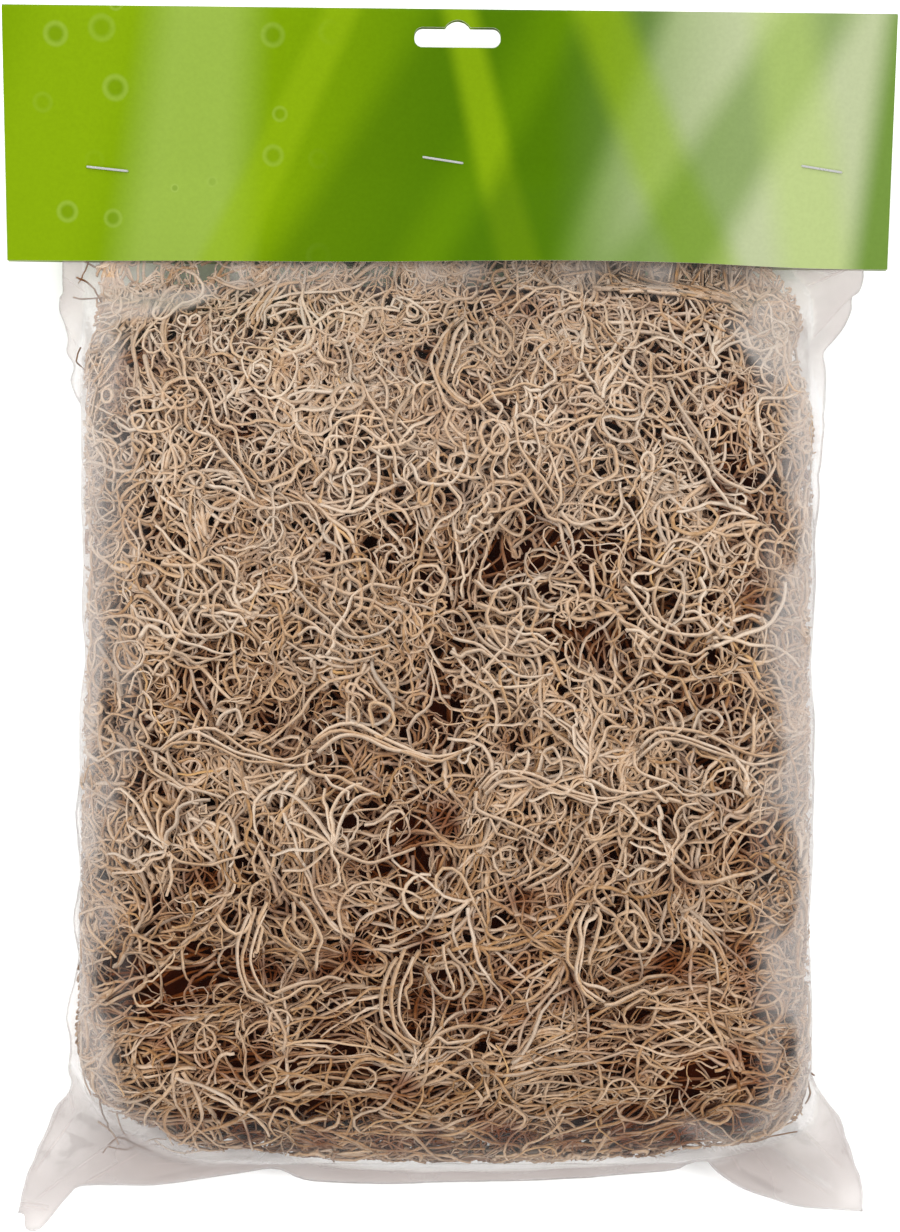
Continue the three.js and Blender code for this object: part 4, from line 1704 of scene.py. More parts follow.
@dataclass(frozen=True)
class Staple:
    """One office staple, driven through the card and the bag and turned in behind."""

    form: PackForm
    name: str
    x: float
    y: float
    turn: float
    crown: float = 12.7
    wire: float = 0.6
    depth: float = 0.7
    tip: float = 0.75
    bend: float = 0.75
    bend_steps: int = 5
    clinch: float = 4.2
    slot: str = "staple_wire"
    sides: int = 10

    def build(self, finish: Material) -> None:
        """Makes the staple.

        Args:
            finish: The wire's material.
        """
        card = self.form.card
        route = self._route(card.inner_half_gap + card.thickness + self.wire / 2)
        radii = np.full((1, len(route)), self.depth / 2)
        radii[0, [0, -1]] *= self.tip
        rings = tube_rings(route[None], radii, self.sides, self.wire / self.depth)
        angle = math.radians(self.turn)
        along = np.array([math.cos(angle), math.sin(angle), math.sin(angle) * card.slope])
        along /= np.linalg.norm(along)
        out = np.array([0, -card.slope, 1]) / math.hypot(1, card.slope)
        basis = np.stack([along, np.cross(out, along), out])
        seat = np.array([self.x, self.y, self.form.card_height(self.y)])
        points = self.form.place(rings.reshape(-1, 3) @ basis + seat)
        piece = write_mesh(f"{self.name}_wire", points, tube_faces(1, len(route), self.sides, 0))
        finish_piece(piece, self.slot, self.name, finish)

    def _route(self, top: float) -> Array:
        """The wire's middle line, from one tip to the other, in the staple's own frame.

        Args:
            top: How high the crown's middle line is.

        Returns:
            (x, 0, z) rows.
        """
        half = self.crown / 2 - self.wire / 2
        tips = [(half - self.clinch / 2, 0.1 - top), (half - self.clinch, -0.15 - top)]
        rows = [(-x, z) for x, z in reversed(tips)]
        left = (-half, -top, math.pi), (-half, top, math.pi)
        right = (half, top, QUARTER), (half, -top, -QUARTER)
        for x, z, start in left + right:
            cx, cz = x - math.copysign(self.bend, x), z - math.copysign(self.bend, z)
            for i in range(self.bend_steps + 1):
                angle = start - QUARTER * i / self.bend_steps
                rows.append((cx + self.bend * math.cos(angle), cz + self.bend * math.sin(angle)))
        return np.array([(x, 0.0, z) for x, z in rows + tips])


# ---- Finishes ----


class Graph:
    """Builds shader nodes in one tree with short calls."""

    def __init__(self, tree: NodeTree) -> None:
        """Starts on a tree."""
        self.tree = tree

    def node(self, kind: str, inputs: dict[str | int, object] | None = None, **settings: object) -> Node:
        """Adds a node.

        Args:
            kind: The node's type.
            inputs: Values or sockets for its inputs, by name or number.
            settings: Values for its properties.

        Returns:
            The node.
        """
        made = self.tree.nodes.new(kind)
        for name, value in settings.items():
            setattr(made, name, value)
        self.feed(made, inputs or {})
        return made

    def feed(self, node: Node, inputs: dict[str | int, object]) -> None:
        """Links some of a node's inputs to sockets, or sets their values.

        Args:
            node: The node.
            inputs: The sockets or values, by name or number.
        """
        for key, value in inputs.items():
            if isinstance(value, NodeSocket):
                self.tree.links.new(value, node.inputs[key])
            else:
                node.inputs[key].default_value = value

    def math(self, operation: str, *values: object, clamp: bool = False) -> NodeSocket:
        """The result of a maths node."""
        inputs = dict(enumerate(values))
        return self.node("ShaderNodeMath", inputs, operation=operation, use_clamp=clamp).outputs[0]

    def times(self, first: object, second: object, clamp: bool = False) -> NodeSocket:
        """The product of two values."""
        return self.math("MULTIPLY", first, second, clamp=clamp)

    def blend(self, share: object, first: object, second: object) -> NodeSocket:
        """A mix of two colours."""
        return self.node("ShaderNodeMix", {0: share, 6: first, 7: second}, data_type="RGBA").outputs[2]

    def range(
        self, value: object, low: float, high: float, start: float = 0.0, end: float = 1.0
    ) -> NodeSocket:
        """A value mapped from one range to another, eased at its ends."""
        inputs = {0: value, 1: low, 2: high, 3: start, 4: end}
        return self.node("ShaderNodeMapRange", inputs, interpolation_type="SMOOTHSTEP").outputs[0]

    def noise(self, where: object, scale: object, detail: float = 3.0, rough: float = 0.55) -> NodeSocket:
        """Fine random values from 0 to 1."""
        inputs = {"Vector": where, "Scale": scale, "Detail": detail, "Roughness": rough}
        return self.node("ShaderNodeTexNoise", inputs).outputs[0]

    def bump(self, strength: float, distance: float, height: object) -> NodeSocket:
        """A normal tilted by a height."""
        inputs = {"Strength": strength, "Distance": distance, "Height": height}
        return self.node("ShaderNodeBump", inputs).outputs[0]

    def facing(self, blend: float) -> NodeSocket:
        """How much the surface turns away from the view."""
        return self.node("ShaderNodeLayerWeight", {"Blend": blend}).outputs["Facing"]

    def ramp(self, value: object, stops: Sequence[tuple[float, Colour]]) -> NodeSocket:
        """A colour picked from a ramp.

        Args:
            value: Place on the ramp.
            stops: Its stops as (place, colour).

        Returns:
            The colour socket.
        """
        made = self.node("ShaderNodeValToRGB", {0: value})
        elements = made.color_ramp.elements
        while len(elements) < len(stops):
            elements.new(0.5)
        for element, (place, colour) in zip(elements, stops):
            element.position, element.color = place, colour
        return made.outputs[0]

    def place(self) -> NodeSocket:
        """The place on the object, in metres."""
        return self.node("ShaderNodeTexCoord").outputs["Object"]

    def attribute(self, name: str) -> NodeSocket:
        """A number kept on the mesh."""
        return self.node("ShaderNodeAttribute", attribute_name=name).outputs["Fac"]


def srgb(red: int, green: int, blue: int) -> Colour:
    """A colour of a colour chart as a linear one.

    Args:
        red: Its red, from 0 to 255.
        green: Its green.
        blue: Its blue.

    Returns:
        Its four linear channels.
    """

    def linear(value: int) -> float:
        """One channel of it."""
        share = value / 255
        return share / 12.92 if share <= 0.04045 else ((share + 0.055) / 1.055) ** 2.4

    return (linear(red), linear(green), linear(blue), 1.0)


class Effects:
    """Node groups that several finishes share, each built once."""

    def __init__(self) -> None:
        """Builds the groups."""
        self.mottle = self._mottle()
        self.fold = self._fold()

    @staticmethod
    def _group(name: str, inputs: dict[str, float], outputs: Sequence[str]) -> tuple[Graph, Node, Node]:
        """Makes an empty group.

        Args:
            name: The effect's name.
            inputs: Names and first values of its number inputs, after the place input.
            outputs: Names of its number outputs.

        Returns:
            The group's graph and its input and output nodes.
        """
        tree = bpy.data.node_groups.new(name, "ShaderNodeTree")
        sockets, number = tree.interface, "NodeSocketFloat"
        sockets.new_socket("Place", in_out="INPUT", socket_type="NodeSocketVector")
        for label, value in inputs.items():
            sockets.new_socket(label, in_out="INPUT", socket_type=number).default_value = value
        for label in outputs:
            sockets.new_socket(label, in_out="OUTPUT", socket_type=number)
        graph = Graph(tree)
        return graph, graph.node("NodeGroupInput"), graph.node("NodeGroupOutput")

    def _mottle(self) -> NodeTree:
        """Builds the mottling of a dry or fibrous surface.

        Returns:
            The group: Shade varies the colour, Grain the height.
        """
        graph, enter, leave = self._group("mottle", {"Size": 0.003, "Strength": 0.5}, ["Shade", "Grain"])
        place, size, strength = enter.outputs[:3]
        scale = graph.math("DIVIDE", 1.0, size)
        coarse = graph.noise(place, scale, 3.0, 0.5)
        fine = graph.noise(place, graph.times(scale, 5.0), 2.0, 0.5)
        graph.feed(leave, {
            "Shade": graph.times(graph.math("SUBTRACT", coarse, 0.5), strength),
            "Grain": graph.math("MULTIPLY_ADD", fine, 0.5, coarse),
        })
        return graph.tree

    def _fold(self) -> NodeTree:
        """Builds the painted shade and highlight of a sharp fold of a sheet.

        Returns:
            The group: Line is the fold itself, Side the facet on its left.
        """
        sizes = {
            "Start X": 0.0, "Start Y": 0.0, "Turn": 0.0, "Length": 0.01, "Width": 0.0005, "Reach": 0.004,
        }
        graph, enter, leave = self._group("fold", sizes, ["Line", "Side"])
        place, start_x, start_y, turn, length, width, reach = enter.outputs[:7]
        start = graph.node("ShaderNodeCombineXYZ", {"X": start_x, "Y": start_y})
        turned = graph.node("ShaderNodeCombineXYZ", {"Z": turn})
        inputs = {"Vector": place, "Location": start.outputs[0], "Rotation": turned.outputs[0]}
        local = graph.node("ShaderNodeMapping", inputs, vector_type="TEXTURE")
        x, y, _ = graph.node("ShaderNodeSeparateXYZ", {0: local.outputs[0]}).outputs
        along = graph.math("DIVIDE", x, length)
        ends = graph.times(graph.range(along, 0.0, 0.2), graph.range(along, 1.0, 0.8))
        off = graph.math("DIVIDE", graph.math("ABSOLUTE", y), width)
        far = graph.math("SUBTRACT", 1.0, graph.math("DIVIDE", y, reach), clamp=True)
        left = graph.times(far, graph.math("GREATER_THAN", y, 0.0))
        graph.feed(leave, {
            "Line": graph.times(graph.math("SUBTRACT", 1.0, off, clamp=True), ends),
            "Side": graph.times(left, ends),
        })
        return graph.tree


class MaterialGraph(Graph):
    """The graph of a new material, with its shader."""

    def __init__(self, name: str, effects: Effects) -> None:
        """Makes the material.

        Args:
            name: The finish's name.
            effects: The shared node groups.
        """
        self.material = bpy.data.materials.new(name)
        self.material.use_nodes = True
        super().__init__(self.material.node_tree)
        self.effects = effects
        self.shader = self.tree.nodes["Principled BSDF"]

    def dress(self, inputs: dict[str, object]) -> None:
        """Feeds the shader."""
        self.feed(self.shader, inputs)

    def mottle(self, size: float, strength: float) -> Sequence[NodeSocket]:
        """Mottling with spots of a size: its shade and its grain."""
        return self.effect(self.effects.mottle, {"Size": size, "Strength": strength})

    def effect(self, tree: NodeTree, values: dict[str, float]) -> Sequence[NodeSocket]:
        """Places a group with its own values and gives its outputs."""
        return self.node("ShaderNodeGroup", {"Place": self.place(), **values}, node_tree=tree).outputs


@dataclass(frozen=True)
class Finish:
    """One of the pack's finishes."""

    name: str

    def build(self, effects: Effects) -> Material:
        """Makes the material.

        Args:
            effects: The shared node groups.

        Returns:
            The material.
        """
        graph = MaterialGraph(self.name, effects)
        self.dress(graph)
        return graph.material

    def dress(self, graph: MaterialGraph) -> None:
        """Feeds the material's shader."""
        raise NotImplementedError


@dataclass(frozen=True)
class FibreFinish(Finish):
    """Dried moss: matte, from dark umber to cream, with grey and straw-coloured strands. Strands that lie
    deep get a painted shade towards a dark red-brown, and edges turned from the view get paler: partly
    their fuzzy fibres, partly a painted sheen.
    """

    stops: tuple[tuple[float, Colour], ...]
    grey: Colour = srgb(148, 134, 121)
    straw: Colour = srgb(196, 156, 104)
    # deep: the painted shade of strands that lie deep in the tangle.
    deep: Colour = srgb(112, 54, 16)
    # Pale colour for edges turned from the view: partly the fibres' fuzzy look, partly a painted sheen.
    fuzz: Colour = srgb(216, 201, 184)
    roughness: float = 0.82
    specular: float = 0.06

    def dress(self, graph: MaterialGraph) -> None:
        """Feeds the material's shader.

        Args:
            graph: The material's graph.
        """
        patches, grain = graph.mottle(0.003, 0.6)
        scales, _ = graph.mottle(0.0008, 0.5)
        tone = graph.math("ADD", graph.attribute("tone"), graph.math("ADD", patches, scales))
        warmth = graph.attribute("warmth")
        greyed = graph.blend(graph.times(warmth, -0.7, clamp=True), graph.ramp(tone, self.stops), self.grey)
        warmed = graph.blend(graph.times(warmth, 0.3, clamp=True), greyed, self.straw)
        # Edges turned from the view are blended paler: partly the fibres' fuzzy look, partly a painted
        # sheen that softens the tubes' shading.
        with_fuzz_and_sheen = graph.blend(graph.range(graph.facing(0.4), 0.35, 1.0, 0.0, 0.28), warmed, self.fuzz)
        # The deeper a strand lies, the more its colour turns to the deep one: painted shade.
        sunk = graph.range(graph.attribute("deep"), 0.1, 0.8, 0.0, 0.95)
        graph.dress({
            "Base Color": graph.blend(sunk, with_fuzz_and_sheen, self.deep), "Roughness": self.roughness,
            "Specular IOR Level": self.specular, "Normal": graph.bump(0.35, 0.0002, grain),
        })


@dataclass(frozen=True)
class PaintedFold:
    """A sharp fold in the loose film, painted as shade and highlight by changing the film's opacity.

    Attributes:
        start: One end.
        end: Its other end.
        line: Opacity that the fold itself adds, as painted shade; less than nothing paints a highlight.
        side: Opacity that the facet on its left adds, as painted shade; less than nothing paints it
            lighter.
        width: Half the width of the fold.
        reach: How far the facet reaches.
    """

    start: Span
    end: Span
    line: float
    side: float
    width: float
    reach: float

    def place(self, graph: MaterialGraph) -> Sequence[NodeSocket]:
        """Places the fold in a material.

        Args:
            graph: The material's graph.

        Returns:
            Masks of the fold and of the facet on its left.
        """
        (ax, ay), (bx, by) = self.start, self.end
        return graph.effect(graph.effects.fold, {
            "Start X": ax * MM, "Start Y": ay * MM, "Turn": math.atan2(by - ay, bx - ax),
            "Length": math.hypot(bx - ax, by - ay) * MM, "Width": self.width * MM, "Reach": self.reach * MM,
        })


@dataclass(frozen=True)
class FilmFinish(Finish):
    """Clear plastic film: glossy, faintly milky where it lies loose. Its whitish veil over the moss is
    partly painted reflection, the grey of its loose sheet partly painted shade, and its folds are painted
    shade and highlights.
    """

    name: str = "clear film"
    # veil: the whitish colour of the milky film, partly painted reflection.
    veil: Colour = srgb(206, 197, 191)
    # sheet: the grey of the loose film, partly the film's own tint, partly painted shade for the look its
    # two layers and shadows give it.
    sheet: Colour = srgb(168, 156, 151)
    clear: float = 0.001
    milky: float = 0.34
    thickest: float = 0.33
    loose: float = 0.41
    roughness: float = 0.35
    gloss: float = 0.3
    gloss_roughness: float = 0.2
    refraction: float = 1.5

    def dress(self, graph: MaterialGraph) -> None:
        """Feeds the material's shader.

        Args:
            graph: The material's graph.
        """
        place = graph.place()
        # The whitish veil built below over the moss is partly the film's own clouding and partly painted
        # reflection.
        cloud = graph.range(graph.noise(place, 45.0, 4.0), 0.4, 0.8, 0.8, 1.25)
        sheen_streaks = graph.range(graph.noise(place, 150.0, 4.0), 0.35, 0.68, 0.5, 1.25)
        slanted = graph.times(graph.attribute("side"), graph.range(graph.facing(0.5), 0.05, 0.8, 0.2, 1.0))
        haze = graph.times(cloud, graph.math("ADD", graph.attribute("haze"), graph.times(slanted, sheen_streaks)))
        over = graph.math("MULTIPLY_ADD", haze, self.milky, self.clear)
        over = graph.math("MINIMUM", over, self.thickest)
        free = graph.attribute("free")
        alone = graph.times(free, self.loose)
        # The folds paint shade and highlights into the loose film's opacity.
        for fold in PAINTED_FOLDS:
            line, side = fold.place(graph)
            alone = graph.math("MULTIPLY_ADD", line, fold.line, alone)
            alone = graph.math("MULTIPLY_ADD", side, fold.side, alone)
        held = graph.range(free, 0.05, 0.5)
        ripple = graph.bump(0.3, 0.0006, graph.noise(place, 160.0, 2.0))
        graph.dress({
            "Base Color": graph.blend(graph.range(free, 0.75, 1.05), self.veil, self.sheet),
            "Roughness": self.roughness,
            "Alpha": graph.math("MAXIMUM", over, graph.times(alone, held), clamp=True),
            "Normal": ripple,
        })
        gloss = graph.node("ShaderNodeBsdfGlossy", {"Roughness": self.gloss_roughness, "Normal": ripple})
        fresnel = graph.node("ShaderNodeFresnel", {"IOR": self.refraction, "Normal": ripple})
        share = graph.times(fresnel.outputs[0], self.gloss)
        shaders = {0: share, 1: graph.shader.outputs[0], 2: gloss.outputs[0]}
        both = graph.node("ShaderNodeMixShader", shaders)
        graph.feed(graph.tree.nodes["Material Output"], {"Surface": both.outputs[0]})


@dataclass(frozen=True)
class PrintFinish(Finish):
    """The card's print: soft out-of-focus green blades under a satin varnish, with no lettering."""

    name: str = "green print"
    lime: Colour = srgb(96, 124, 1)
    base: Colour = srgb(72, 104, 1)
    deep: Colour = srgb(52, 84, 1)
    pale: Colour = srgb(156, 162, 130)
    bright: Colour = srgb(112, 138, 8)
    light: Colour = srgb(142, 160, 84)
    specular: float = 0.08

    def dress(self, graph: MaterialGraph) -> None:
        """Feeds the material's shader.

        Args:
            graph: The material's graph.
        """
        x, y, _ = graph.node("ShaderNodeSeparateXYZ", {0: graph.place()}).outputs
        wide = graph.math("MULTIPLY_ADD", graph.noise(graph.place(), 9.0, 1.0), 0.05, x)
        colour = graph.blend(graph.range(wide, -0.03, 0.035), self.lime, self.base)
        colour = graph.blend(graph.range(wide, 0.06, 0.12, 0.0, 0.85), colour, self.pale)
        for middle, lean, width, soft, strength, tint in (
            (-0.118, 0.35, 0.012, 0.020, 0.5, self.bright),
            (-0.076, 0.12, 0.010, 0.016, 0.4, self.light),
            (-0.050, 0.5, 0.004, 0.006, 0.6, self.bright),
            (-0.012, 0.62, 0.012, 0.016, 0.6, self.deep),
            (0.012, -0.24, 0.003, 0.006, 0.7, self.bright),
            (0.034, 0.5, 0.010, 0.012, 0.65, self.deep),
            (0.060, -0.42, 0.005, 0.010, 0.6, self.bright),
            (0.086, 0.62, 0.008, 0.014, 0.6, self.base),
            (0.104, -0.16, 0.005, 0.012, 0.5, self.light),
            (0.133, 0.10, 0.004, 0.010, 0.85, self.base),
        ):
            lined = graph.math("MULTIPLY_ADD", graph.math("SUBTRACT", y, 0.145), -lean, x)
            off = graph.math("ABSOLUTE", graph.math("SUBTRACT", lined, middle))
            narrowed = graph.math("MULTIPLY_ADD", graph.math("SUBTRACT", y, 0.11), width * 6, off)
            mask = graph.range(narrowed, width + soft, width)
            colour = graph.blend(graph.times(mask, strength), colour, tint)
        shade, grain = graph.mottle(0.0012, 0.16)
        speckled = graph.node("ShaderNodeHueSaturation", {
            "Color": self._dew(graph, colour, x), "Value": graph.math("ADD", 1.0, shade),
        })
        graph.dress({
            "Base Color": speckled.outputs[0], "Roughness": graph.range(grain, 0.4, 1.1, 0.36, 0.5),
            "Specular IOR Level": self.specular, "Normal": graph.bump(0.12, 0.0001, grain),
        })

    def _dew(self, graph: Graph, colour: NodeSocket, x: NodeSocket) -> NodeSocket:
        """Adds printed dew drops to the print's left part.

        Args:
            graph: The material's graph.
            colour: The print so far.
            x: Place across the card.

        Returns:
            The colour with the drops.
        """
        inputs = {"Vector": graph.place(), "Scale": 62.0}
        cells = graph.node("ShaderNodeTexVoronoi", inputs, voronoi_dimensions="2D").outputs
        chosen = graph.node("ShaderNodeSeparateColor", {0: cells["Color"]}).outputs
        share = graph.math("DIVIDE", cells["Distance"], graph.math("MULTIPLY_ADD", chosen[1], 0.2, 0.05))
        picked = graph.times(graph.range(chosen[0], 0.4, 0.9), graph.range(x, -0.03, -0.06))
        ring = graph.times(graph.range(share, 1.15, 0.85), graph.range(share, 0.4, 0.85))
        heart = graph.times(graph.range(share, 0.85, 0.5), 0.25)
        colour = graph.blend(graph.times(heart, picked), colour, self.deep)
        return graph.blend(graph.times(graph.times(ring, 0.22), picked), colour, self.light)


@dataclass(frozen=True)
class BoardFinish(Finish):
    """The card's cut edge: off-white fibre."""

    name: str = "card edge"
    colour: Colour = srgb(214, 216, 196)
    roughness: float = 0.8

    def dress(self, graph: MaterialGraph) -> None:
        """Feeds the material's shader."""
        value = graph.math("ADD", 1.0, graph.mottle(0.0006, 0.3)[0])
        shade = graph.node("ShaderNodeHueSaturation", {"Color": self.colour, "Value": value})
        graph.dress({"Base Color": shade.outputs[0], "Roughness": self.roughness})


@dataclass(frozen=True)
class WireFinish(Finish):
    """Galvanised staple wire: bright, drawn along its length."""

    name: str = "staple wire"
    colour: Colour = srgb(206, 206, 206)
    # The matte half makes the wire bright under the soft light in place of the lamps' reflections, which
    # glossy rays don't see: painted reflection.
    metallic: float = 0.5

    def dress(self, graph: MaterialGraph) -> None:
        """Feeds the material's shader."""
        roughness = graph.math("ADD", 0.3, graph.mottle(0.0008, 0.3)[0])
        graph.dress({"Base Color": self.colour, "Metallic": self.metallic, "Roughness": roughness})


@dataclass(frozen=True)
class FloorFinish(Finish):
    """The studio's floor: pale and matte."""

    name: str = "pale floor"
    tints: tuple[tuple[float, Colour], ...] = ((0.3, srgb(247, 247, 247)), (0.7, srgb(250, 250, 249)))
    roughness: float = 0.9

    def dress(self, graph: MaterialGraph) -> None:
        """Feeds the material's shader."""
        tint = graph.ramp(graph.noise(graph.place(), 3.0, 2.0), self.tints)
        graph.dress({"Base Color": tint, "Roughness": self.roughness})


# ---- Studio ----


@dataclass(frozen=True)
class Studio:
    """The plain floor, the soft light and the camera over the pack."""

    form: PackForm
    camera_height: float = 748
    camera_y: float = 4.5
    plane_height: float = 28
    view_height: float = 366
    sensor: float = 36
    floor_half: float = 3000
    lamps: tuple[tuple[str, tuple[float, ...], float, float], ...] = (
        ("left", (-1250, 350, 1350), 900, 27),
        ("right", (1250, 150, 1350), 900, 24),
        ("head", (-100, 1400, 1200), 900, 14),
        ("foot", (150, -1350, 1100), 800, 12),
    )
    sky: float = 0.45
    mirrored_sky: float = 0.12

    def build(self, floor_finish: Material) -> None:
        """Makes the floor, the lights and the camera.

        Args:
            floor_finish: The floor's material.
        """
        scene = bpy.context.scene
        scene.view_settings.view_transform = "Standard"
        half = self.floor_half
        corners = np.array([(-half, -half, 0), (half, -half, 0), (half, half, 0), (-half, half, 0)])
        floor = write_mesh("floor", corners * MM, [np.array([[0, 1, 2, 3]])])
        floor.data.materials.append(floor_finish)
        for name, where, size, power in self.lamps:
            self._lamp(name, where, size, power)
        scene.world = bpy.data.worlds.new("studio")
        scene.world.use_nodes = True
        sky = Graph(scene.world.node_tree)
        mirrored = sky.node("ShaderNodeLightPath").outputs["Is Glossy Ray"]
        strength = sky.range(mirrored, 0, 1, self.sky, self.mirrored_sky)
        sky.feed(sky.tree.nodes["Background"], {"Color": (1, 1, 1, 1), "Strength": strength})
        camera = bpy.data.objects.new("camera", bpy.data.cameras.new("camera"))
        camera.data.sensor_fit = "VERTICAL"
        camera.data.sensor_height = self.sensor
        camera.data.lens = self.sensor * (self.camera_height - self.plane_height) / self.view_height
        camera.location = self.form.place(np.array([0, self.camera_y, self.camera_height]))
        scene.collection.objects.link(camera)
        scene.camera = camera

    @staticmethod
    def _lamp(name: str, where: tuple[float, ...], size: float, power: float) -> None:
        """Adds a square soft light that looks at the pack.

        Args:
            name: Its name.
            where: Its place.
            size: The length of its sides.
            power: Its watts.
        """
        light = bpy.data.lights.new(name, "AREA")
        light.size, light.energy = size * MM, power
        lamp = bpy.data.objects.new(name, light)
        lamp.location = np.array(where) * MM
        lamp.rotation_euler = (-lamp.location).to_track_quat("-Z", "Y").to_euler()
        lamp.visible_glossy = False
        bpy.context.scene.collection.objects.link(lamp)


# ---- The tangle's own forms, and the pack's finishes and staples ----

# Figures of the tangle: each row is one strand, with the x and the y of its points in turn.
KNOT = (
    (-3.4, -3.4, -7.7, -4.5, -13.1, -4.3, -13.9, -6.3, -12.5, -9.7, -8.5, -10.8, -5.1, -10.2, -3.7, -8.5,
    -5.7, -6.3, -3.4, -3.4, -0.6, 0.6, 2.3, 4), (3.7, 1.7, 2.6, 4.3, -0.9, 4.8, -3.7, 2.3, -4, -1.4, -1.1,
    -4, 2.6, -3.1, 4.5, 0.6, 2.8, 3.7, -0.6, 3.4, -2.3, 0.6, -0.9, -2.3, 1.7, -1.4), (-1.4, 17.6, 0.6, 11.4,
    1.1, 6.3, 2.8, 1.1), (-7.4, 14.8, -4, 9.7, -0.6, 6.3), (4.5, 5.7, 6.8, -0.6, 11.4, -7.4, 14.8, -11.4,
    17.6, -17.6), (5.7, 6.3, 9.7, 5.7, 12.5, 0, 10.8, -3.4), (-4.5, -22.2, -3.4, -17.1, -1.7, -14.8, 0.6,
    -15.9, 0, -19.3, -2.8, -21.6), (-1.1, -27.3, 1.7, -22.7, 5.7, -21, 7.7, -23.3, 6.3, -25.9, 2.8, -26.1,
    0, -23.9), (-8.5, -25.6, -4.5, -20.5, -2.8, -15.3), (17.1, -18.8, 21, -23.9, 26.1, -24.4, 31.8, -22.2,
    34.7, -17.1, 34.1, -12.5), (2.8, -8.5, 9.7, -13.1, 16.5, -21, 20.5, -28.4), (-14.2, -11.4, -10.8, -18.8,
    -16.5, -23.9, -19.9, -28.4),
)
NEST = (
    (-13.1, 4, -8.5, -2.3, -2.8, -7.4, 4, -9.7, 10.8, -8.5, 14.8, -4), (-5.7, -15.9, -2.3, -8.5, 1.7, -1.1,
    4, 4), (-2.3, 9.1, -4, 1.7, -1.7, -4.5, 3.4, -10.2), (0.6, 9.7, 4, 4.5, 4.5, -1.7, 1.1, -6.8), (6.8,
    8.5, 8.5, 2.8, 7.4, -3.4, 9.7, -7.4), (-15.3, -4, -8.5, -6.8, -1.1, -12.5, 5.7, -14.8, 12.5, -13.6),
    (-14.2, -9.7, -9.7, -8, -4, -9.7), (2.8, -0.6, 8.5, -1.1, 15.3, -4), (2.3, -2.3, 8.5, -3.4, 15.9, -6.8),
    (3.4, -4.5, 9.7, -5.7, 15.3, -9.7), (-8, 5.7, -2.8, 2.8, 4, 2.3, 9.7, 4.5, 14.2, 4), (-6.8, -12.5, -1.7,
    -16.5, 5.1, -17.1, 10.2, -15.3), (-9.7, 11.4, -3.4, 9.7, 4, 11.4, 9.7, 9.7, 11.4, 6.3),
)
SWEEP = (
    (-17.1, -2.8, -12.5, 1.1, -4, 0.6, 6.8, -3.4, 18.2, -6.3, 27.3, -4), (-17.6, -4, -11.9, 0, -4, -0.9,
    6.3, -4.5, 17.1, -7.4, 25.6, -6.3), (-16.5, -5.7, -11.4, -1.7, -3.4, -2.3, 5.7, -5.7, 16.5, -8.8),
    (-1.7, 1.7, 0.6, 6.3, 4.5, 6.8, 6.3, 3.4, 4, -0.6, 0.6, 0), (-8.5, 2.8, -7.4, 6.3, -4.5, 6.3, -4, 2.8,
    -6.8, 1.1), (-18.2, -4.5, -18.8, -9.7, -14.8, -12.5, -8, -14.8, 0.6, -17.6), (-14.2, -13.1, -11.4,
    -17.1, -6.3, -18.8),
)
SPRAY = (
    (0, 0, -4, 7.4, -9.7, 14.2, -14.8, 16.5, -17.6, 13.1), (0, 0, -2.3, 9.7, -3.4, 17.1), (0, 0, 1.1, 10.2,
    4.5, 16.5, 8.5, 17.6), (0, 0, 2.8, 8, 7.4, 13.1, 12.5, 14.2), (0, 0, 6.3, -4, 14.8, -4.5, 23.9, -1.7),
    (0, 0, -7.4, -2.8, -16.5, -1.7), (0, 0, -6.3, -5.7, -14.8, -6.8), (0, 0, -4.5, 3.4, -11.9, 5.7), (0, 0,
    2.3, -7.4, 0.6, -13.1),
)
SHEAF = (
    (-1.7, 12.5, -5.1, 4.5, -5.7, -4, -2.8, -10.8, 2.8, -14.2), (0, 13.1, -3.1, 4.5, -3.7, -4, -1.1, -10.2,
    4, -13.1), (1.7, 13.1, -1.1, 4.5, -1.7, -3.4, 0.6, -9.7, 5.1, -11.9), (4, 13.6, 1.1, 5.1, 0.6, -2.3),
    (8.5, 11.4, 6.8, 7.4, 9.7, 2.8, 14.2, 0.6, 17.1, 4, 15.3, 9.1, 11.4, 11.4, 8, 9.7), (10.8, 14.8, 11.4,
    8.5, 14.8, 3.4), (12.5, 15.3, 16.5, 10.2, 18.8, 2.3, 16.5, -4), (5.1, -12.5, 12.5, -8.5, 19.9, -6.8,
    26.1, -8), (4.5, -14.2, 13.1, -10.8, 22.2, -10.2),
)

FIGURES = (
    Figure(KNOT, ((-76.7, 67.3), (-29.8, 67.3), (13.4, 54.5), (58.3, 65.3))),
    Figure(NEST, ((-73.9, 9.0), (-29.8, 9.0), (15.6, 2.8), (63.1, 8.5))),
    Figure(SWEEP, ((-64.8, -29.3), (-21.3, -27.9), (25.6, -40.7), (71.0, -29.3))),
    Figure(SPRAY, ((-81.0, -62.0), (-33.5, -60.6), (38.6, -40.8), (62.7, -66.0))),
    Figure(SHEAF, ((-55.4, -91.8), (-12.8, -104.6), (1.4, 77.3), (39.8, -91.8)), tone=(0.45, 0.8)),
)

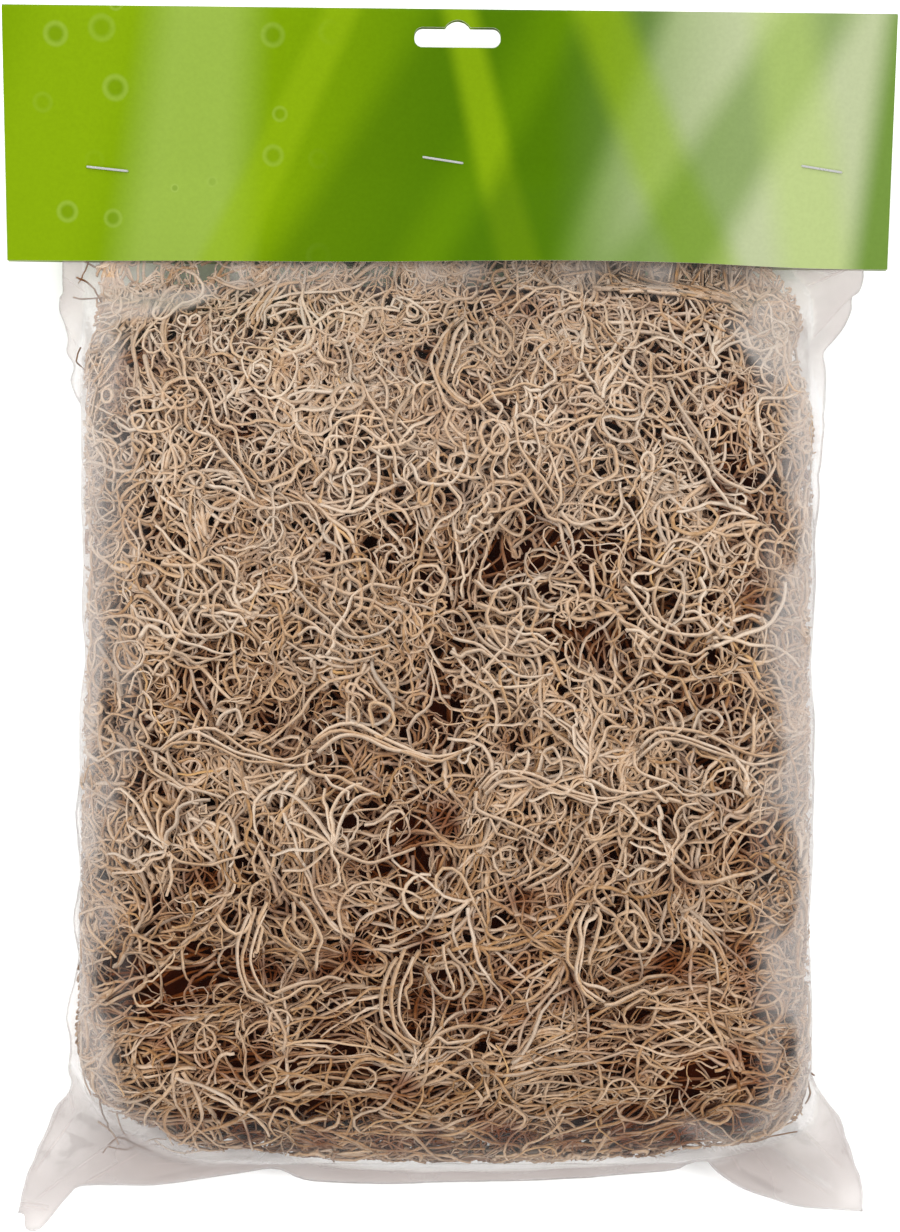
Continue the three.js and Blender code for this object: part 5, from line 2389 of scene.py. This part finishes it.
# Single strands at the pad's edges, each at its own place.
DARK_STRAYS = (
    (-105.2, -158.2, -103.7, -156.1, -98.3, -157, -94.7, -155.5, -87.7, -150, -83.2, -149.7), (-103.7,
    -156.1, -99.8, -153, -96.8, -154.3, -94, -155.5, -89.2, -153.6, -85.6, -152.1), (-94, -155.8, -91.5,
    -156.8, -89.2, -156.4), (-102.8, -137.4, -103.4, -145, -103.1, -151.2), (-97.7, -140.5, -97.9, -147.3,
    -97.1, -152.7), (-79.2, -155.5, -77.4, -154.6, -75.6, -154), (106.4, -133.7, 108, -137.9, 106.7,
    -141.9), (104.3, -134.9, 105.8, -138.8, 104.9, -144), (81.6, -150.3, 87.7, -152.4, 94.3, -153.4, 104.9,
    -151.5), (102.8, -131.6, 106.1, -131, 109.2, -132.8), (-110.7, 111.5, -105.8, 108.5, -100.4, 107.3),
    (-113.1, 100.1, -108.3, 99.5, -104, 100.1), (-111.9, 106.1, -107, 103.1, -104.6, 98.8), (-108.3, 111.5,
    -109.5, 107.3, -111.9, 104.3), (-110.7, 84.9, -111.9, 81.3, -109.5, 78.3),
)
PALE_STRAYS = (
    (-82.3, -141.9, -83.2, -147.3, -81.6, -152.4), (-105.8, -147.9, -102.2, -150.9, -100.4, -155.8), (-87.7,
    -150.3, -84.1, -154, -78.6, -155.2, -73.2, -153.4), (94.3, -141.9, 96.8, -138.2, 101.6, -137, 104.9,
    -140, 104.6, -144.9, 101.6, -149.1, 96.8, -148.5, 93.7, -145.5), (92.5, -146.7, 96.8, -143.1, 102.8,
    -142.5, 105.8, -145.5), (95.6, -138.8, 98.6, -143.1, 99.8, -148.5), (-107.7, -128.8, -109.5, -132.5,
    -106.7, -137.8), (-105, -122.7, -108.7, -126.3, -107.5, -131.2, -103.8, -132.4),
)
STRAYS = (
    Figure(DARK_STRAYS, radius=(0.28, 0.42), tone=(-0.1, 0.12), depth=1.0, jitter=0.5),
    Figure(PALE_STRAYS, radius=(0.32, 0.46), tone=(0.45, 0.75), depth=1.0, jitter=0.5),
)
# Hollows of the tangle: x, y and how deep each is. Strands there sink and thin out, and the sunk ones are
# also painted darker as shade.
HOLLOWS = (
    (82, 70, 1.5), (17, -148, 1.5), (34, 62, 1.3), (-82, 75, 1.2), (21, 93, 1.2), (-2, -54, 1.2), (67, -70,
    1.2), (-10, -58, 1.2), (84, -92, 1.2), (-55, -120, 0.5), (54, -140, 1.1), (-65, -126, 0.6), (-51, -97,
    1.1), (-9, -109, 1.1), (-82, -117, 0.6), (19, -77, 1.1), (-47, 75, 1.1), (-72, -23, 1.1), (75, 39, 1.1),
    (-35, -96, 1.1), (63, -96, 1.1), (-4, 63, 1.1), (-25, -20, 1.1), (7, -108, 1.1), (65, -24, 1.1), (9,
    -140, 1.1), (-13, -130, 1.1), (-70, -69, 1), (47, 99, 1), (15, -103, 1), (-27, -92, 1), (-35, 77, 1),
    (17, -32, 1), (27, 31, 1), (58, 97, 1), (36, -99, 1), (8, 66, 1), (-70, 6, 1), (-23, 9, 1), (67, 4,
    0.9), (-7, 83, 0.9), (19, -3, 0.9), (55, -100, 0.5), (86, -104, 0.9), (18, 76, 0.9), (86, 9, 0.9), (-5,
    -148, 0.9), (-23, -137, 0.9), (1, 37, 0.9), (-93, 72, 0.9), (-8, -90, 0.9), (-50, -79, 0.9), (40, 2,
    0.8), (-15, 43, 0.8), (76, -30, 0.8), (82, -121, 0.8), (-62, 40, 0.8), (-73, -6, 0.8), (-80, -144, 1),
    (-60, -149, 1.3), (-38, -150, 1.4), (-17, -152, 1.2), (35, -151, 1.4), (52, -150, 1.1), (68, -148, 1.3),
    (85, -142, 1),
)
# Colours from dark to pale.
MOSS_STOPS = (
    (0.0, srgb(92, 56, 28)),
    (0.3, srgb(155, 119, 84)),
    (0.6, srgb(182, 154, 127)),
    (0.8, srgb(193, 170, 148)),
    (1.0, srgb(203, 186, 168)),
)
# The core's colours, darker and redder than the strands: painted shade.
CORE_SHADE_STOPS = (
    (0.0, srgb(54, 18, 4)),
    (0.5, srgb(82, 33, 9)),
    (1.0, srgb(108, 52, 20)),
)
# Painted shade and highlights of the loose film's folds: both ends, then the other fields of the fold
# class.
PAINTED_FOLDS = tuple(PaintedFold((ax, ay), (bx, by), *rest) for ax, ay, bx, by, *rest in (
    (-115.2, -123.7, -112.5, -146.5, 0.07, 0.03, 0.5, 5), (-111.9, -145.5, -127, -166, 0.09, -0.03, 0.5,
    14), (-113.5, -137.5, -123, -156, 0.05, 0.03, 0.5, 7), (-92, -157, -111.5, -168.8, 0.1, 0.03, 0.5, 10),
    (-96, -150.5, -129.5, -176, 0.05, 0.02, 0.5, 12), (-90.7, -162, -56, -160.5, 0.07, 0.05, 0.5, 5),
    (-58.5, -162.5, -50.2, -154.8, 0.14, -0.1, 0.6, 4), (-51.2, -155.2, -42.5, -159.2, 0.12, 0.08, 0.5, 4),
    (-121, -176.5, -132, -174.5, 0.09, 0.05, 0.5, 8), (-40, -160.5, 20, -163, 0.06, 0.06, 0.5, 4), (22,
    -163, 62, -161.5, 0.07, -0.06, 0.5, 4), (62, -161.5, 80, -156, 0.12, 0.07, 0.6, 5), (117.5, -170.5,
    94.8, -154.5, -0.14, 0, 0.9, 8), (101, -162, 117, -172.5, 0.08, -0.05, 0.5, 8), (104, -148, 121, -165,
    0.05, 0.02, 0.5, 7), (88.8, -164.5, 83.2, -154.5, 0.1, 0.07, 0.5, 6), (110, -133, 124, -166, 0.05,
    -0.08, 0.5, 7), (127.5, 111.5, 106, 102.6, 0.16, -0.07, 0.6, 9), (100.5, 110.8, 115.5, 106, -0.12, 0.05,
    0.8, 6), (121.5, 101, 108, 86, 0.07, -0.08, 0.5, 10), (-117, 107, -104, 98, 0.08, -0.06, 0.5, 7),
    (-117.5, 96, -108, 79, 0.07, -0.07, 0.5, 6),
))
# Each staple's node, its x and y, and its slant in degrees.
STAPLES = (
    ("staple_left", -101.7, 137.4, -6.0),
    ("staple_middle", -2.1, 139.9, -8.5),
    ("staple_right", 110.3, 137.3, -9.0),
)


def main() -> None:
    """Dresses the pack."""
    logging.basicConfig(level=logging.INFO, format="%(message)s")
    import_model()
    form = PackForm()
    effects = Effects()
    Studio(form).build(FloorFinish().build(effects))
    room = Room(form)
    strand, core = FibreFinish("dried moss", MOSS_STOPS), FibreFinish("moss core", CORE_SHADE_STOPS)
    MossTangle(form).build(room, strand.build(effects), core.build(effects))
    FilmBag(form).build(room, FilmFinish().build(effects))
    HeaderCard(form).build(PrintFinish().build(effects), BoardFinish().build(effects))
    wire = WireFinish().build(effects)
    for name, x, y, turn in STAPLES:
        Staple(form, name, x, y, turn).build(wire)


if __name__ == "__main__":
    main()
